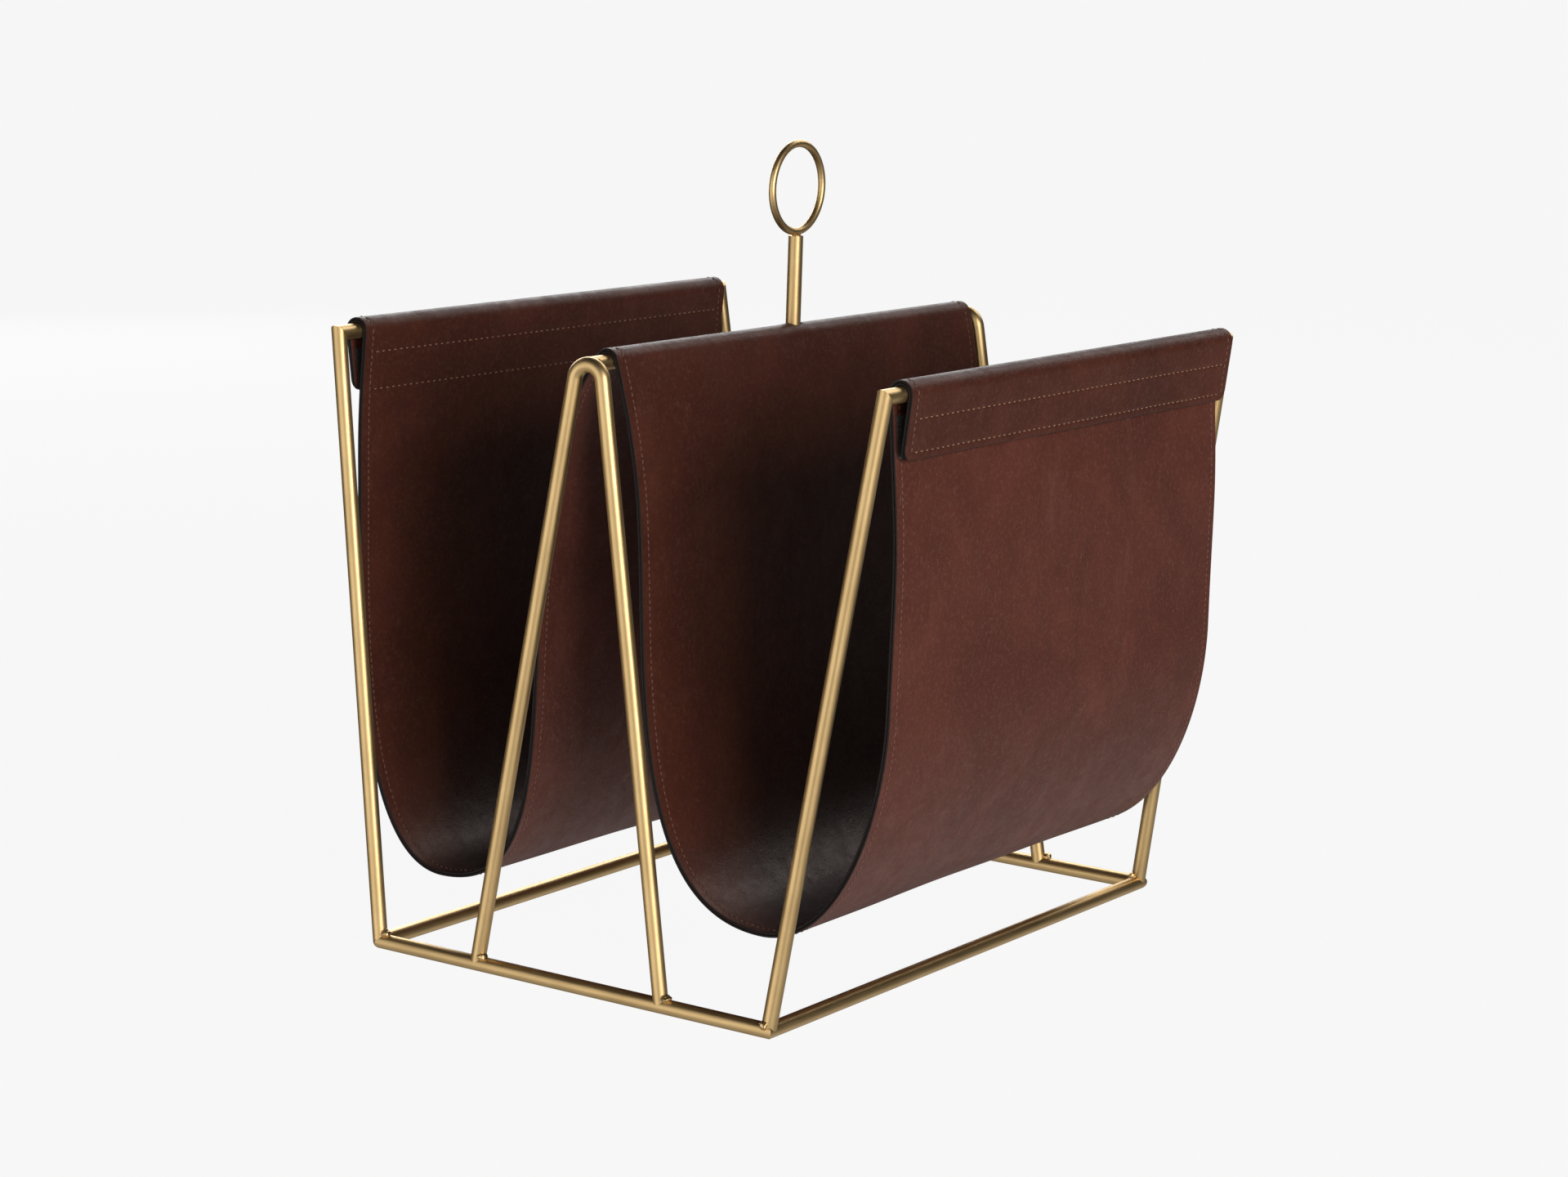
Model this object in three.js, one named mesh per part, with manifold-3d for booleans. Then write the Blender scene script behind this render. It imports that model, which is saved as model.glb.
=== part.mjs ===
// Magazine rack: a welded brass bar frame that carries one long leather sling with two pockets.
// The sling passes over the centre top bar and ends in two flaps that wrap over the side top bars
// and close on themselves with hook-and-loop strips. Peeling a flap frees that side of the sling.
//
// Millimetres, +Z up, X across the two pockets, Y along the top bars, origin on the floor at the
// middle of the base.
import * as THREE from "three";
import { mergeVertices } from "three/addons/utils/BufferGeometryUtils.js";
import Module from "manifold-3d";

const wasm = await Module();
wasm.setup();

// ---- Driving dimensions ----

// Bar frame
const BAR_DIAMETER = 8;
const BASE_WIDTH = 249.4; // between the axes of the left and right base bars
const BASE_DEPTH = 374; // between the axes of the front and back base bars
const TOP_WIDTH = 340.2; // between the axes of the left and right top bars
const TOP_DEPTH = 344.8; // between the axes of the front and back uprights at the top bars
const TOP_HEIGHT = 322; // axes of the three top bars above the floor
const HAIRPIN_FEET = 119; // between the axes of a hairpin's two feet
const HAIRPIN_BEND = 8.8; // radius of the hairpin's bend at the bar's axis
const FRONT_HAIRPIN_LEAN = 6.8; // how far the front hairpin's bend stands in from its feet
const BACK_HAIRPIN_LEAN = 11; // the same at the back

// Handle ring on its stem
const STEM_DIAMETER = 8;
const STEM_HEIGHT = 54; // above the axis of the centre top bar
const RING_RADIUS = 23.4; // at the wire's axis
const RING_WIRE = 4;

// Leather sling: two leaves with a glue line between them
const LEAF_THICKNESS = 1.3;
const GLUE_LINE = 0.3;
const FRONT_REVEAL = 9.4; // side bar left bare between the front uprights and the sling
const BACK_REVEAL = 0.6; // the same at the back
const STEM_HOLE_CLEARANCE = 0.8;

// Pockets. Each hangs from a side bar to its floor and climbs to the centre bar. The wall's lean is
// how far it tilts towards the centre where it leaves the side bar, in degrees; the belly is the
// point where it hangs upright, and the pulls are lengths of the curve's handles.
const POCKETS = {
  left: {
    wallLean: 4.1,
    bellyInset: 3.3, // from the side bar's axis
    bellyDrop: 101, // below the side bar's axis
    upperPull: 54,
    middlePull: 38,
    lowerPull: 88,
    floorInset: 63.5, // lowest point, from the side bar's axis
    floorHeight: 38,
    floorPull: 49,
    centreLean: 48.5, // from straight up, where the wall leaves the centre bar
    centrePull: 124,
    roundness: 1.03, // handle of the floor towards the centre, as a share of that half's width
  },
  right: {
    wallLean: 4.9,
    bellyInset: 0.3,
    bellyDrop: 156.5,
    upperPull: 86,
    middlePull: 87,
    lowerPull: 58,
    floorInset: 70.9,
    floorHeight: 42.9,
    floorPull: 43,
    centreLean: 72.8,
    centrePull: 95,
    roundness: 1.11,
  },
};

// Flaps and their hook-and-loop strips
const FLAP_DROP = 39; // from the top of the wrap to the flap's lower edge
const FLAP_CORNER = 6; // radius of the flap's lower corners
const STRIP_HEIGHT = 20;
const STRIP_THICKNESS = 0.7;
const STRIP_DROP = 17; // from the top of the wrap to the strips' upper edge
const STRIP_END_MARGIN = 7; // from the flap's ends
const STRIP_GAP = 0.4; // between the hook strip's and the loop strip's lower edges

// Stitching
const THREAD_WIDTH = 0.8;
const THREAD_THICKNESS = 0.5;
const EDGE_MARGIN = 5.5; // from the sling's edges to its edge seams
const SEAM_INSET = 1.6; // from a strip's edges to the seams that hold it
const PANEL_SEAM_DROPS = [18, 38]; // below the top of the wrap, inside the pocket

// Clearances
const WELD_GAP = 0.3;
const LEATHER_GAP = 0.3;

// Facets
const BAR_SIDES = 16;
const BEND_STEPS = 10;
const RING_STEPS = 48;
const RING_SIDES = 12;
const CURVE_STEPS = 14;
const WRAP_STEPS = 12;
const CORNER_STEPS = 5;

// ---- Values that follow ----

const radians = THREE.MathUtils.degToRad;
const barRadius = BAR_DIAMETER / 2;
const leafOuter = LEAF_THICKNESS + GLUE_LINE / 2; // from the sling's middle surface to its face
const leafInner = GLUE_LINE / 2;
const wrapRadius = barRadius + LEATHER_GAP + leafOuter; // of the sling's middle surface on a bar
const wrapOuter = wrapRadius + leafOuter;
const slingFront = barRadius + FRONT_REVEAL - TOP_DEPTH / 2;
const slingBack = TOP_DEPTH / 2 - barRadius - BACK_REVEAL;
const slingWidth = slingBack - slingFront;
const slingMiddle = (slingFront + slingBack) / 2;
const seamLift = leafOuter + LEATHER_GAP;
const PLENTY = 60; // size of cutting blocks

// ---- Materials ----

function finish(color, roughness, metalness) {
  return new THREE.MeshStandardMaterial({ color, roughness, metalness });
}

const brass = finish(0xa9844a, 0.32, 1);
const leather = finish(0x3a1a12, 0.5, 0);
const lining = finish(0x45241a, 0.55, 0);
const hookAndLoop = finish(0x0d0c0b, 0.95, 0);
const thread = finish(0x6b3a24, 0.7, 0);

// ---- Solids ----

const MERGE_DISTANCE = 1e-3;

function solid(geometry) {
  const bare = geometry.clone();
  for (const name of Object.keys(bare.attributes)) {
    if (name !== "position") bare.deleteAttribute(name);
  }
  const merged = mergeVertices(bare, MERGE_DISTANCE);
  return new wasm.Manifold(
    new wasm.Mesh({
      numProp: 3,
      vertProperties: new Float32Array(merged.attributes.position.array),
      triVerts: new Uint32Array(merged.index.array),
    }),
  );
}

function meshOf(name, shape, material) {
  let geometry = shape;
  if (!shape.isBufferGeometry) {
    const { vertProperties, triVerts } = shape.getMesh();
    geometry = new THREE.BufferGeometry();
    geometry.setAttribute("position", new THREE.BufferAttribute(vertProperties, 3));
    geometry.setIndex(new THREE.BufferAttribute(triVerts, 1));
    geometry = geometry.toNonIndexed();
    geometry.computeVertexNormals();
  }
  const mesh = new THREE.Mesh(geometry, material);
  mesh.name = name;
  return mesh;
}

// A straight bar between two points of its axis. Its flats lie on the bar's true surface, and one
// of them faces down where the bar is level.
function bar(from, to, diameter = BAR_DIAMETER) {
  const along = to.clone().sub(from);
  const length = along.length();
  along.normalize();
  const up = Math.abs(along.z) > 0.7 ? new THREE.Vector3(0, 1, 0) : new THREE.Vector3(0, 0, 1);
  const across = along.clone().cross(up).normalize();
  const corner = diameter / 2 / Math.cos(Math.PI / BAR_SIDES);
  const geometry = new THREE.CylinderGeometry(
    corner, corner, length, BAR_SIDES, 1, false, Math.PI / BAR_SIDES,
  );
  const turn = new THREE.Matrix4().makeBasis(across, along, across.clone().cross(along));
  turn.setPosition(from.clone().lerp(to, 0.5));
  return geometry.applyMatrix4(turn);
}

// A block whose one face is the plane through a point, on the side that the normal points to
function block(point, normal) {
  const turn = new THREE.Quaternion().setFromUnitVectors(new THREE.Vector3(0, 0, 1), normal);
  const geometry = new THREE.BoxGeometry(PLENTY, PLENTY, PLENTY);
  geometry.translate(0, 0, PLENTY / 2);
  geometry.applyQuaternion(turn);
  return solid(geometry.translate(point.x, point.y, point.z));
}

// Cuts a bar at a mitred corner: away is the bar's own direction from the corner, other is its
// neighbour's. Half of the weld gap comes off each side.
function mitred(piece, corner, away, other) {
  const normal = other.clone().sub(away).normalize();
  const face = corner.clone().addScaledVector(normal, -WELD_GAP / 2);
  return piece.subtract(block(face, normal));
}

// A path made of three.js curves with its own number of steps on each
class SteppedPath extends THREE.Curve {
  constructor(parts) {
    super();
    this.stations = [];
    parts.forEach(([curve, steps], index) => {
      for (let i = index === 0 ? 0 : 1; i <= steps; i++) {
        const t = i / steps;
        this.stations.push({ point: curve.getPoint(t), tangent: curve.getTangent(t) });
      }
    });
  }

  get steps() {
    return this.stations.length - 1;
  }

  getPointAt(u, target = new THREE.Vector3()) {
    return target.copy(this.stations[Math.round(u * this.steps)].point);
  }

  getTangentAt(u, target = new THREE.Vector3()) {
    return target.copy(this.stations[Math.round(u * this.steps)].tangent);
  }
}

// An arc in space about a centre, from the direction start to the direction end
class SpaceArc extends THREE.Curve {
  constructor(centre, start, end, radius, sweep) {
    super();
    Object.assign(this, { centre, start, end, radius, sweep });
  }

  getPoint(t, target = new THREE.Vector3()) {
    const angle = this.sweep * t;
    return target
      .copy(this.centre)
      .addScaledVector(this.start, this.radius * Math.cos(angle))
      .addScaledVector(this.end, this.radius * Math.sin(angle));
  }
}

function bentBar(path, diameter) {
  const corner = diameter / 2 / Math.cos(Math.PI / BAR_SIDES);
  const outline = new THREE.Shape();
  for (let i = 0; i < BAR_SIDES; i++) {
    const angle = ((2 * i + 1) * Math.PI) / BAR_SIDES;
    outline[i === 0 ? "moveTo" : "lineTo"](corner * Math.cos(angle), corner * Math.sin(angle));
  }
  return new THREE.ExtrudeGeometry(outline, {
    steps: path.steps,
    extrudePath: path,
    bevelEnabled: false,
  });
}

// ---- Frame ----

const sides = { left: -1, right: 1 };
const ends = { front: -1, back: 1 };

const baseCorner = (x, y) =>
  new THREE.Vector3((x * BASE_WIDTH) / 2, (y * BASE_DEPTH) / 2, barRadius);
const topCorner = (x, y) =>
  new THREE.Vector3((x * TOP_WIDTH) / 2, (y * TOP_DEPTH) / 2, TOP_HEIGHT);
const towards = (from, to) => to.clone().sub(from).normalize();
const extended = (from, to) => to.clone().addScaledVector(towards(from, to), BAR_DIAMETER);

// A bar that is mitred at both ends, where its neighbours leave in the given directions
function mitredBar(from, to, neighbourFrom, neighbourTo) {
  let piece = solid(bar(extended(to, from), extended(from, to)));
  piece = mitred(piece, from, towards(from, to), neighbourFrom);
  return mitred(piece, to, towards(to, from), neighbourTo);
}

function baseBars() {
  const bars = [];
  for (const [end, y] of Object.entries(ends)) {
    const inward = new THREE.Vector3(0, -y, 0);
    const piece = mitredBar(baseCorner(-1, y), baseCorner(1, y), inward, inward);
    bars.push(meshOf(`base_bar_${end}`, piece, brass));
  }
  for (const [side, x] of Object.entries(sides)) {
    const inward = new THREE.Vector3(-x, 0, 0);
    const piece = mitredBar(baseCorner(x, -1), baseCorner(x, 1), inward, inward);
    bars.push(meshOf(`base_bar_${side}`, piece, brass));
  }
  return bars;
}

// What the base takes up, with the weld gap around it
function baseClearance() {
  const thick = BAR_DIAMETER + 2 * WELD_GAP;
  let whole = null;
  const runs = [
    [baseCorner(-1, -1), baseCorner(1, -1)],
    [baseCorner(-1, 1), baseCorner(1, 1)],
    [baseCorner(-1, -1), baseCorner(-1, 1)],
    [baseCorner(1, -1), baseCorner(1, 1)],
  ];
  for (const [from, to] of runs) {
    const piece = solid(bar(extended(to, from), extended(from, to), thick));
    whole = whole ? whole.add(piece) : piece;
  }
  return whole;
}

function uprights(base) {
  const bars = [];
  for (const [end, y] of Object.entries(ends)) {
    for (const [side, x] of Object.entries(sides)) {
      const foot = baseCorner(x, y);
      const top = topCorner(x, y);
      let piece = solid(bar(foot, extended(foot, top)));
      piece = mitred(piece, top, towards(top, foot), new THREE.Vector3(0, -y, 0));
      bars.push(meshOf(`upright_${end}_${side}`, piece.subtract(base), brass));
    }
  }
  return bars;
}

function sideTopBars() {
  return Object.entries(sides).map(([side, x]) => {
    const front = topCorner(x, -1);
    const back = topCorner(x, 1);
    const down = (y) => towards(topCorner(x, y), baseCorner(x, y));
    return meshOf(`top_bar_${side}`, mitredBar(front, back, down(-1), down(1)), brass);
  });
}

// The hairpin's legs rise from the base bar and run tangent into the bend. Its plane leans in.
function hairpinPath(y) {
  const rise = TOP_HEIGHT - barRadius;
  const foot = new THREE.Vector3(0, (y * BASE_DEPTH) / 2, barRadius);
  const lean = y < 0 ? FRONT_HAIRPIN_LEAN : BACK_HAIRPIN_LEAN;
  const apex = foot.clone().add(new THREE.Vector3(0, -y * lean, rise));
  const up = towards(foot, apex);
  const across = new THREE.Vector3(1, 0, 0);
  const centre = apex.clone().addScaledVector(up, -HAIRPIN_BEND);
  const height = centre.distanceTo(foot);
  const spread = HAIRPIN_FEET / 2;
  const slant = Math.atan2(spread, height) - Math.asin(HAIRPIN_BEND / Math.hypot(spread, height));
  const [cos, sin] = [Math.cos(slant), Math.sin(slant)];
  const start = across.clone().multiplyScalar(-cos).addScaledVector(up, sin);
  const square = across.clone().multiplyScalar(sin).addScaledVector(up, cos);
  const bend = new SpaceArc(centre, start, square, HAIRPIN_BEND, Math.PI - 2 * slant);
  const legFoot = (x) => foot.clone().addScaledVector(across, x * spread);
  return {
    apex,
    path: new SteppedPath([
      [new THREE.LineCurve3(legFoot(-1), bend.getPoint(0)), 1],
      [bend, BEND_STEPS],
      [new THREE.LineCurve3(bend.getPoint(1), legFoot(1)), 1],
    ]),
  };
}

function centreFrame(base) {
  const meshes = [];
  const spine = [];
  let clearance = null;
  for (const [end, y] of Object.entries(ends)) {
    const { apex, path } = hairpinPath(y);
    const piece = solid(bentBar(path, BAR_DIAMETER)).subtract(base);
    meshes.push(meshOf(`centre_hairpin_${end}`, piece, brass));
    const around = solid(bentBar(path, BAR_DIAMETER + 2 * WELD_GAP));
    clearance = clearance ? clearance.add(around) : around;
    spine.push(apex);
  }
  meshes.push(meshOf("top_bar_centre", solid(bar(...spine)).subtract(clearance), brass));
  return meshes;
}

function handle() {
  const foot = new THREE.Vector3(0, 0, TOP_HEIGHT);
  const top = new THREE.Vector3(0, 0, TOP_HEIGHT + STEM_HEIGHT);
  const around = new THREE.Vector3(0, TOP_DEPTH / 4, TOP_HEIGHT);
  const opposite = around.clone().setY(-around.y);
  const seat = solid(bar(opposite, around, BAR_DIAMETER + 2 * WELD_GAP));
  const stem = solid(bar(foot, top, STEM_DIAMETER)).subtract(seat);

  const ring = new THREE.TorusGeometry(RING_RADIUS, RING_WIRE / 2, RING_SIDES, RING_STEPS);
  const ringMesh = meshOf("handle_ring", ring, brass);
  ringMesh.position.set(0, 0, top.z + WELD_GAP + RING_WIRE / 2 + RING_RADIUS);
  ringMesh.rotation.y = Math.PI / 2;
  return [meshOf("handle_stem", stem, brass), ringMesh];
}

// ---- Sling ----

const polar = (x, angle) =>
  new THREE.Vector2(x + wrapRadius * Math.cos(angle), TOP_HEIGHT + wrapRadius * Math.sin(angle));

// One pocket's middle line from its side bar to the centre bar, drawn for the right-hand pocket
function pocketCurves(pocket) {
  const sideX = TOP_WIDTH / 2;
  const lean = radians(pocket.wallLean);
  const top = polar(sideX, Math.PI + lean);
  const belly = new THREE.Vector2(sideX - pocket.bellyInset, TOP_HEIGHT - pocket.bellyDrop);
  const floor = new THREE.Vector2(sideX - pocket.floorInset, pocket.floorHeight);
  const centreAngle = radians(90 - pocket.centreLean);
  const ridge = polar(0, centreAngle);
  const by = (point, x, z) => new THREE.Vector2(point.x + x, point.y + z);
  const { upperPull, middlePull, lowerPull, floorPull, centrePull } = pocket;
  const roundPull = pocket.roundness * (floor.x - ridge.x);
  return [
    new THREE.CubicBezierCurve(
      top,
      by(top, upperPull * Math.sin(lean), -upperPull * Math.cos(lean)),
      by(belly, 0, middlePull),
      belly,
    ),
    new THREE.CubicBezierCurve(belly, by(belly, 0, -lowerPull), by(floor, floorPull, 0), floor),
    new THREE.CubicBezierCurve(
      floor,
      by(floor, -roundPull, 0),
      by(ridge, centrePull * Math.sin(centreAngle), -centrePull * Math.cos(centreAngle)),
      ridge,
    ),
  ];
}

// Points of a pocket's middle line, each with the normal that points into the pocket
function pocketLine(pocket) {
  const line = [];
  pocketCurves(pocket).forEach((curve, index) => {
    for (let i = index === 0 ? 0 : 1; i <= CURVE_STEPS; i++) {
      const point = curve.getPoint(i / CURVE_STEPS);
      const along = curve.getTangent(i / CURVE_STEPS);
      line.push({ point, normal: new THREE.Vector2(along.y, -along.x) });
    }
  });
  return line;
}

const flip = ({ point, normal }) => ({
  point: new THREE.Vector2(-point.x, point.y),
  normal: new THREE.Vector2(-normal.x, normal.y),
});

// The whole sling between the side bars, from left to right, over the centre bar
function slingLine() {
  const left = pocketLine(POCKETS.left).map(flip);
  const right = pocketLine(POCKETS.right).reverse();
  const from = radians(90 + POCKETS.left.centreLean);
  const to = radians(90 - POCKETS.right.centreLean);
  const over = [];
  for (let i = 1; i < WRAP_STEPS; i++) {
    const angle = from + ((to - from) * i) / WRAP_STEPS;
    const normal = new THREE.Vector2(Math.cos(angle), Math.sin(angle));
    over.push({ point: polar(0, angle), normal });
  }
  return [...left, ...over, ...right];
}

// A band beside a line, between two distances from it, running along Y
function band(line, low, high, front, depth) {
  const offset = (distance) => line.map((s) => s.point.clone().addScaledVector(s.normal, distance));
  const shape = new THREE.Shape([...offset(low), ...offset(high).reverse()]);
  const geometry = new THREE.ExtrudeGeometry(shape, { depth, bevelEnabled: false });
  return geometry.rotateX(Math.PI / 2).translate(0, front + depth, 0);
}

// The stretch of a line that starts and ends at two lengths along it
function stretch(line, from, to) {
  const result = [];
  let run = 0;
  for (let i = 0; i + 1 < line.length; i++) {
    const step = line[i].point.distanceTo(line[i + 1].point);
    const at = (length) => {
      const t = (length - run) / step;
      const point = line[i].point.clone().lerp(line[i + 1].point, t);
      return { point, normal: line[i].normal.clone().lerp(line[i + 1].normal, t).normalize() };
    };
    if (run <= from && from < run + step) result.push(at(from));
    else if (from < run && run < to) result.push(line[i]);
    if (run <= to && to < run + step) result.push(at(to));
    run += step;
  }
  return result;
}

const lengthOf = (line) =>
  line.slice(1).reduce((sum, s, i) => sum + s.point.distanceTo(line[i].point), 0);

// Length down the panel inside the pocket for a drop measured from the top of the wrap
const panelLength = (drop) => drop - wrapOuter;

function sling() {
  const whole = slingLine();
  const end = lengthOf(whole);
  const line = stretch(whole, LEATHER_GAP / 2, end - LEATHER_GAP / 2);
  const holeRadius = STEM_DIAMETER / 2 + STEM_HOLE_CLEARANCE;
  const hole = solid(
    new THREE.CylinderGeometry(holeRadius, holeRadius, PLENTY, 2 * BAR_SIDES)
      .rotateX(Math.PI / 2)
      .translate(0, 0, TOP_HEIGHT + PLENTY / 2),
  );
  const leaf = (low, high) => solid(band(line, low, high, slingFront, slingWidth));
  const meshes = [
    meshOf("sling_under_leather", leaf(-leafOuter, -leafInner).subtract(hole), leather),
    meshOf("sling_face_leather", leaf(leafInner, leafOuter).subtract(hole), lining),
  ];

  const seam = (from, to, front, depth) =>
    band(stretch(whole, from, to), seamLift, seamLift + THREAD_THICKNESS, front, depth);
  const seamEnds = { front: slingFront + EDGE_MARGIN, back: slingBack - EDGE_MARGIN };
  for (const [name, y] of Object.entries(seamEnds)) {
    const run = seam(LEATHER_GAP / 2, end - LEATHER_GAP / 2, y - THREAD_WIDTH / 2, THREAD_WIDTH);
    meshes.push(meshOf(`sling_edge_thread_${name}`, run, thread));
  }

  // Between the edge seams, along each panel, and clear of them
  const rowFront = seamEnds.front + THREAD_WIDTH / 2 + LEATHER_GAP;
  const rowLength = seamEnds.back - THREAD_WIDTH / 2 - LEATHER_GAP - rowFront;
  const fromEnd = { left: (length) => length, right: (length) => end - length };
  for (const [side, place] of Object.entries(fromEnd)) {
    PANEL_SEAM_DROPS.forEach((drop, index) => {
      const middle = place(panelLength(drop));
      const row = seam(middle - THREAD_WIDTH / 2, middle + THREAD_WIDTH / 2, rowFront, rowLength);
      const level = index === 0 ? "upper" : "lower";
      meshes.push(meshOf(`${side}_panel_thread_${level}`, row, thread));
    });
    const limits = [STRIP_DROP, STRIP_DROP + STRIP_HEIGHT].map((d) => place(panelLength(d)));
    const strip = band(
      stretch(whole, Math.min(...limits), Math.max(...limits)),
      -seamLift - STRIP_THICKNESS,
      -seamLift,
      slingFront + STRIP_END_MARGIN,
      slingWidth - 2 * STRIP_END_MARGIN,
    );
    meshes.push(meshOf(`${side}_loop_strip`, strip, hookAndLoop));
  }
  return meshes;
}

// ---- Flaps ----

// How far a flap tilts in towards the pocket, so that its hook strip comes close to the loop strip
function flapLean(wallLean) {
  const apart = BAR_DIAMETER - 2 * STRIP_THICKNESS;
  const below = STRIP_DROP + STRIP_HEIGHT - wrapOuter;
  return Math.atan((apart - STRIP_GAP) / below - Math.tan(radians(wallLean)));
}

// Leather around a side bar, between the panel in the pocket and the flap outside
function wrapBand(inner, outer, wallLean) {
  const trim = LEATHER_GAP / 2 / wrapRadius;
  const from = -flapLean(wallLean) + trim;
  const to = Math.PI + radians(wallLean) - trim;
  const shape = new THREE.Shape();
  shape.absarc(0, 0, outer, from, to, false);
  shape.absarc(0, 0, inner, to, from, true);
  const settings = { depth: slingWidth, bevelEnabled: false, curveSegments: WRAP_STEPS };
  const geometry = new THREE.ExtrudeGeometry(shape, settings);
  return geometry.rotateX(Math.PI / 2).translate(0, slingWidth / 2, 0);
}

// A leaf of the flap in the flap's own plane, hanging down from its top edge
function flapLeaf(low, high, length) {
  const half = slingWidth / 2;
  const corner = Math.min(FLAP_CORNER, length / 2);
  const shape = new THREE.Shape();
  shape.moveTo(-half, -LEATHER_GAP / 2);
  shape.lineTo(-half, -length + corner);
  shape.absarc(-half + corner, -length + corner, corner, Math.PI, 1.5 * Math.PI, false);
  shape.absarc(half - corner, -length + corner, corner, 1.5 * Math.PI, 2 * Math.PI, false);
  shape.lineTo(half, -LEATHER_GAP / 2);
  const settings = { depth: high - low, bevelEnabled: false, curveSegments: CORNER_STEPS };
  const geometry = new THREE.ExtrudeGeometry(shape, settings);
  const axes = ["y", "z", "x"].map((name) => {
    const axis = new THREE.Vector3();
    axis[name] = 1;
    return axis;
  });
  geometry.applyMatrix4(new THREE.Matrix4().makeBasis(...axes));
  return geometry.translate(wrapRadius + low, 0, 0);
}

function flap(side, x) {
  const { wallLean } = POCKETS[side];
  const lean = flapLean(wallLean);
  const onSlant = (drop) => (drop - wrapOuter - wrapRadius * Math.sin(lean)) / Math.cos(lean);
  const length = onSlant(FLAP_DROP);
  const stripTop = onSlant(STRIP_DROP);
  const stripLength = slingWidth - 2 * STRIP_END_MARGIN;

  const hanging = new THREE.Group();
  hanging.rotation.y = lean;
  hanging.add(
    meshOf(`${side}_flap_under_leather`, flapLeaf(-leafOuter, -leafInner, length), leather),
    meshOf(`${side}_flap_face_leather`, flapLeaf(leafInner, leafOuter, length), lining),
  );
  const strip = meshOf(
    `${side}_hook_strip`,
    new THREE.BoxGeometry(STRIP_THICKNESS, stripLength, STRIP_HEIGHT),
    hookAndLoop,
  );
  const stripX = wrapRadius - seamLift - STRIP_THICKNESS / 2;
  strip.position.set(stripX, 0, -stripTop - STRIP_HEIGHT / 2);
  hanging.add(strip);
  const seamDrops = { upper: SEAM_INSET, lower: STRIP_HEIGHT - SEAM_INSET };
  for (const [level, drop] of Object.entries(seamDrops)) {
    const row = new THREE.BoxGeometry(THREAD_THICKNESS, stripLength, THREAD_WIDTH);
    const mesh = meshOf(`${side}_flap_thread_${level}`, row, thread);
    mesh.position.set(wrapRadius + seamLift + THREAD_THICKNESS / 2, 0, -stripTop - drop);
    hanging.add(mesh);
  }

  const group = new THREE.Group();
  group.position.set((x * TOP_WIDTH) / 2, slingMiddle, TOP_HEIGHT);
  group.rotation.z = x > 0 ? 0 : Math.PI;
  const under = wrapBand(wrapRadius - leafOuter, wrapRadius - leafInner, wallLean);
  const face = wrapBand(wrapRadius + leafInner, wrapRadius + leafOuter, wallLean);
  group.add(
    meshOf(`${side}_wrap_under_leather`, under, leather),
    meshOf(`${side}_wrap_face_leather`, face, lining),
    hanging,
  );
  return group;
}

// ---- Assembly ----

const rack = new THREE.Group();
rack.name = "magazine_rack";
const base = baseClearance();
rack.add(...baseBars(), ...uprights(base), ...sideTopBars(), ...centreFrame(base), ...handle());
rack.add(...sling());
for (const [side, x] of Object.entries(sides)) rack.add(flap(side, x));

export default rack;
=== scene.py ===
"""Looks of a magazine rack: a welded brass bar frame, a two-pocket leather sling and two peel-open flaps.

Metres, +Z up, X across the two pockets, Y along the top bars, origin on the floor at the middle of the base.
"""
import logging
import math
from dataclasses import dataclass, field
from enum import Enum

import bmesh
import bpy
import numpy as np
from mathutils import Matrix, Vector, noise


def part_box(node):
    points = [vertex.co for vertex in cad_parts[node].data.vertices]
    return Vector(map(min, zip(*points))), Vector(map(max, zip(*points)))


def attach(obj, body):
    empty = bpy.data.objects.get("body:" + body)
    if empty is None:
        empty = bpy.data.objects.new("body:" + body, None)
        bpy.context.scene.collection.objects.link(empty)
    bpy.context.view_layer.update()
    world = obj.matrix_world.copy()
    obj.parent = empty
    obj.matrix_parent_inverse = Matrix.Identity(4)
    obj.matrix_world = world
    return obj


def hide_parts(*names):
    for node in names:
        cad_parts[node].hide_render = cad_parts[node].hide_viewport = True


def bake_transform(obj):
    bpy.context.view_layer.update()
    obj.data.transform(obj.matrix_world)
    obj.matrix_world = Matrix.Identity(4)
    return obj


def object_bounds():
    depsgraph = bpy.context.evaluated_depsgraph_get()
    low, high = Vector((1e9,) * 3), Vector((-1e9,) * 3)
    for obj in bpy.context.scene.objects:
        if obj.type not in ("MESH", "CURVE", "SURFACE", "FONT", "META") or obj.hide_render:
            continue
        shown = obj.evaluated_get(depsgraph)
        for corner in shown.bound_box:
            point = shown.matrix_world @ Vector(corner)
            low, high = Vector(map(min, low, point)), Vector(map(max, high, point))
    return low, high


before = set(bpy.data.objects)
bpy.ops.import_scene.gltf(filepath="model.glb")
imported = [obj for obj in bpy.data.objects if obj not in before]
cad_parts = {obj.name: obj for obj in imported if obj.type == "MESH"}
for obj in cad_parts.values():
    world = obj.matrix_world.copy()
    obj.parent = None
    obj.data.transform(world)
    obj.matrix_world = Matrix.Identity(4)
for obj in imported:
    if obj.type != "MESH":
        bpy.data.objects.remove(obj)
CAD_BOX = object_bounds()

LOG = logging.getLogger("magazine_rack")
MM = 0.001
BAR_MAP = "along_bar"
EDGE_SLOT = 1
UP = np.array((0.0, 0.0, 1.0))
Colour = tuple[float, float, float]


# ---------------------------------------------------------------- named options


class Named(Enum):
    """A choice whose name the pieces carry."""

    @property
    def word(self) -> str:
        """The choice's name in a piece's name."""
        return self.name.lower()


class Side(Named):
    """A side of the rack, as the sign of its X."""

    LEFT = -1
    RIGHT = 1


class End(Named):
    """An end of the rack, as the sign of its Y."""

    FRONT = -1
    BACK = 1


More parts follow.
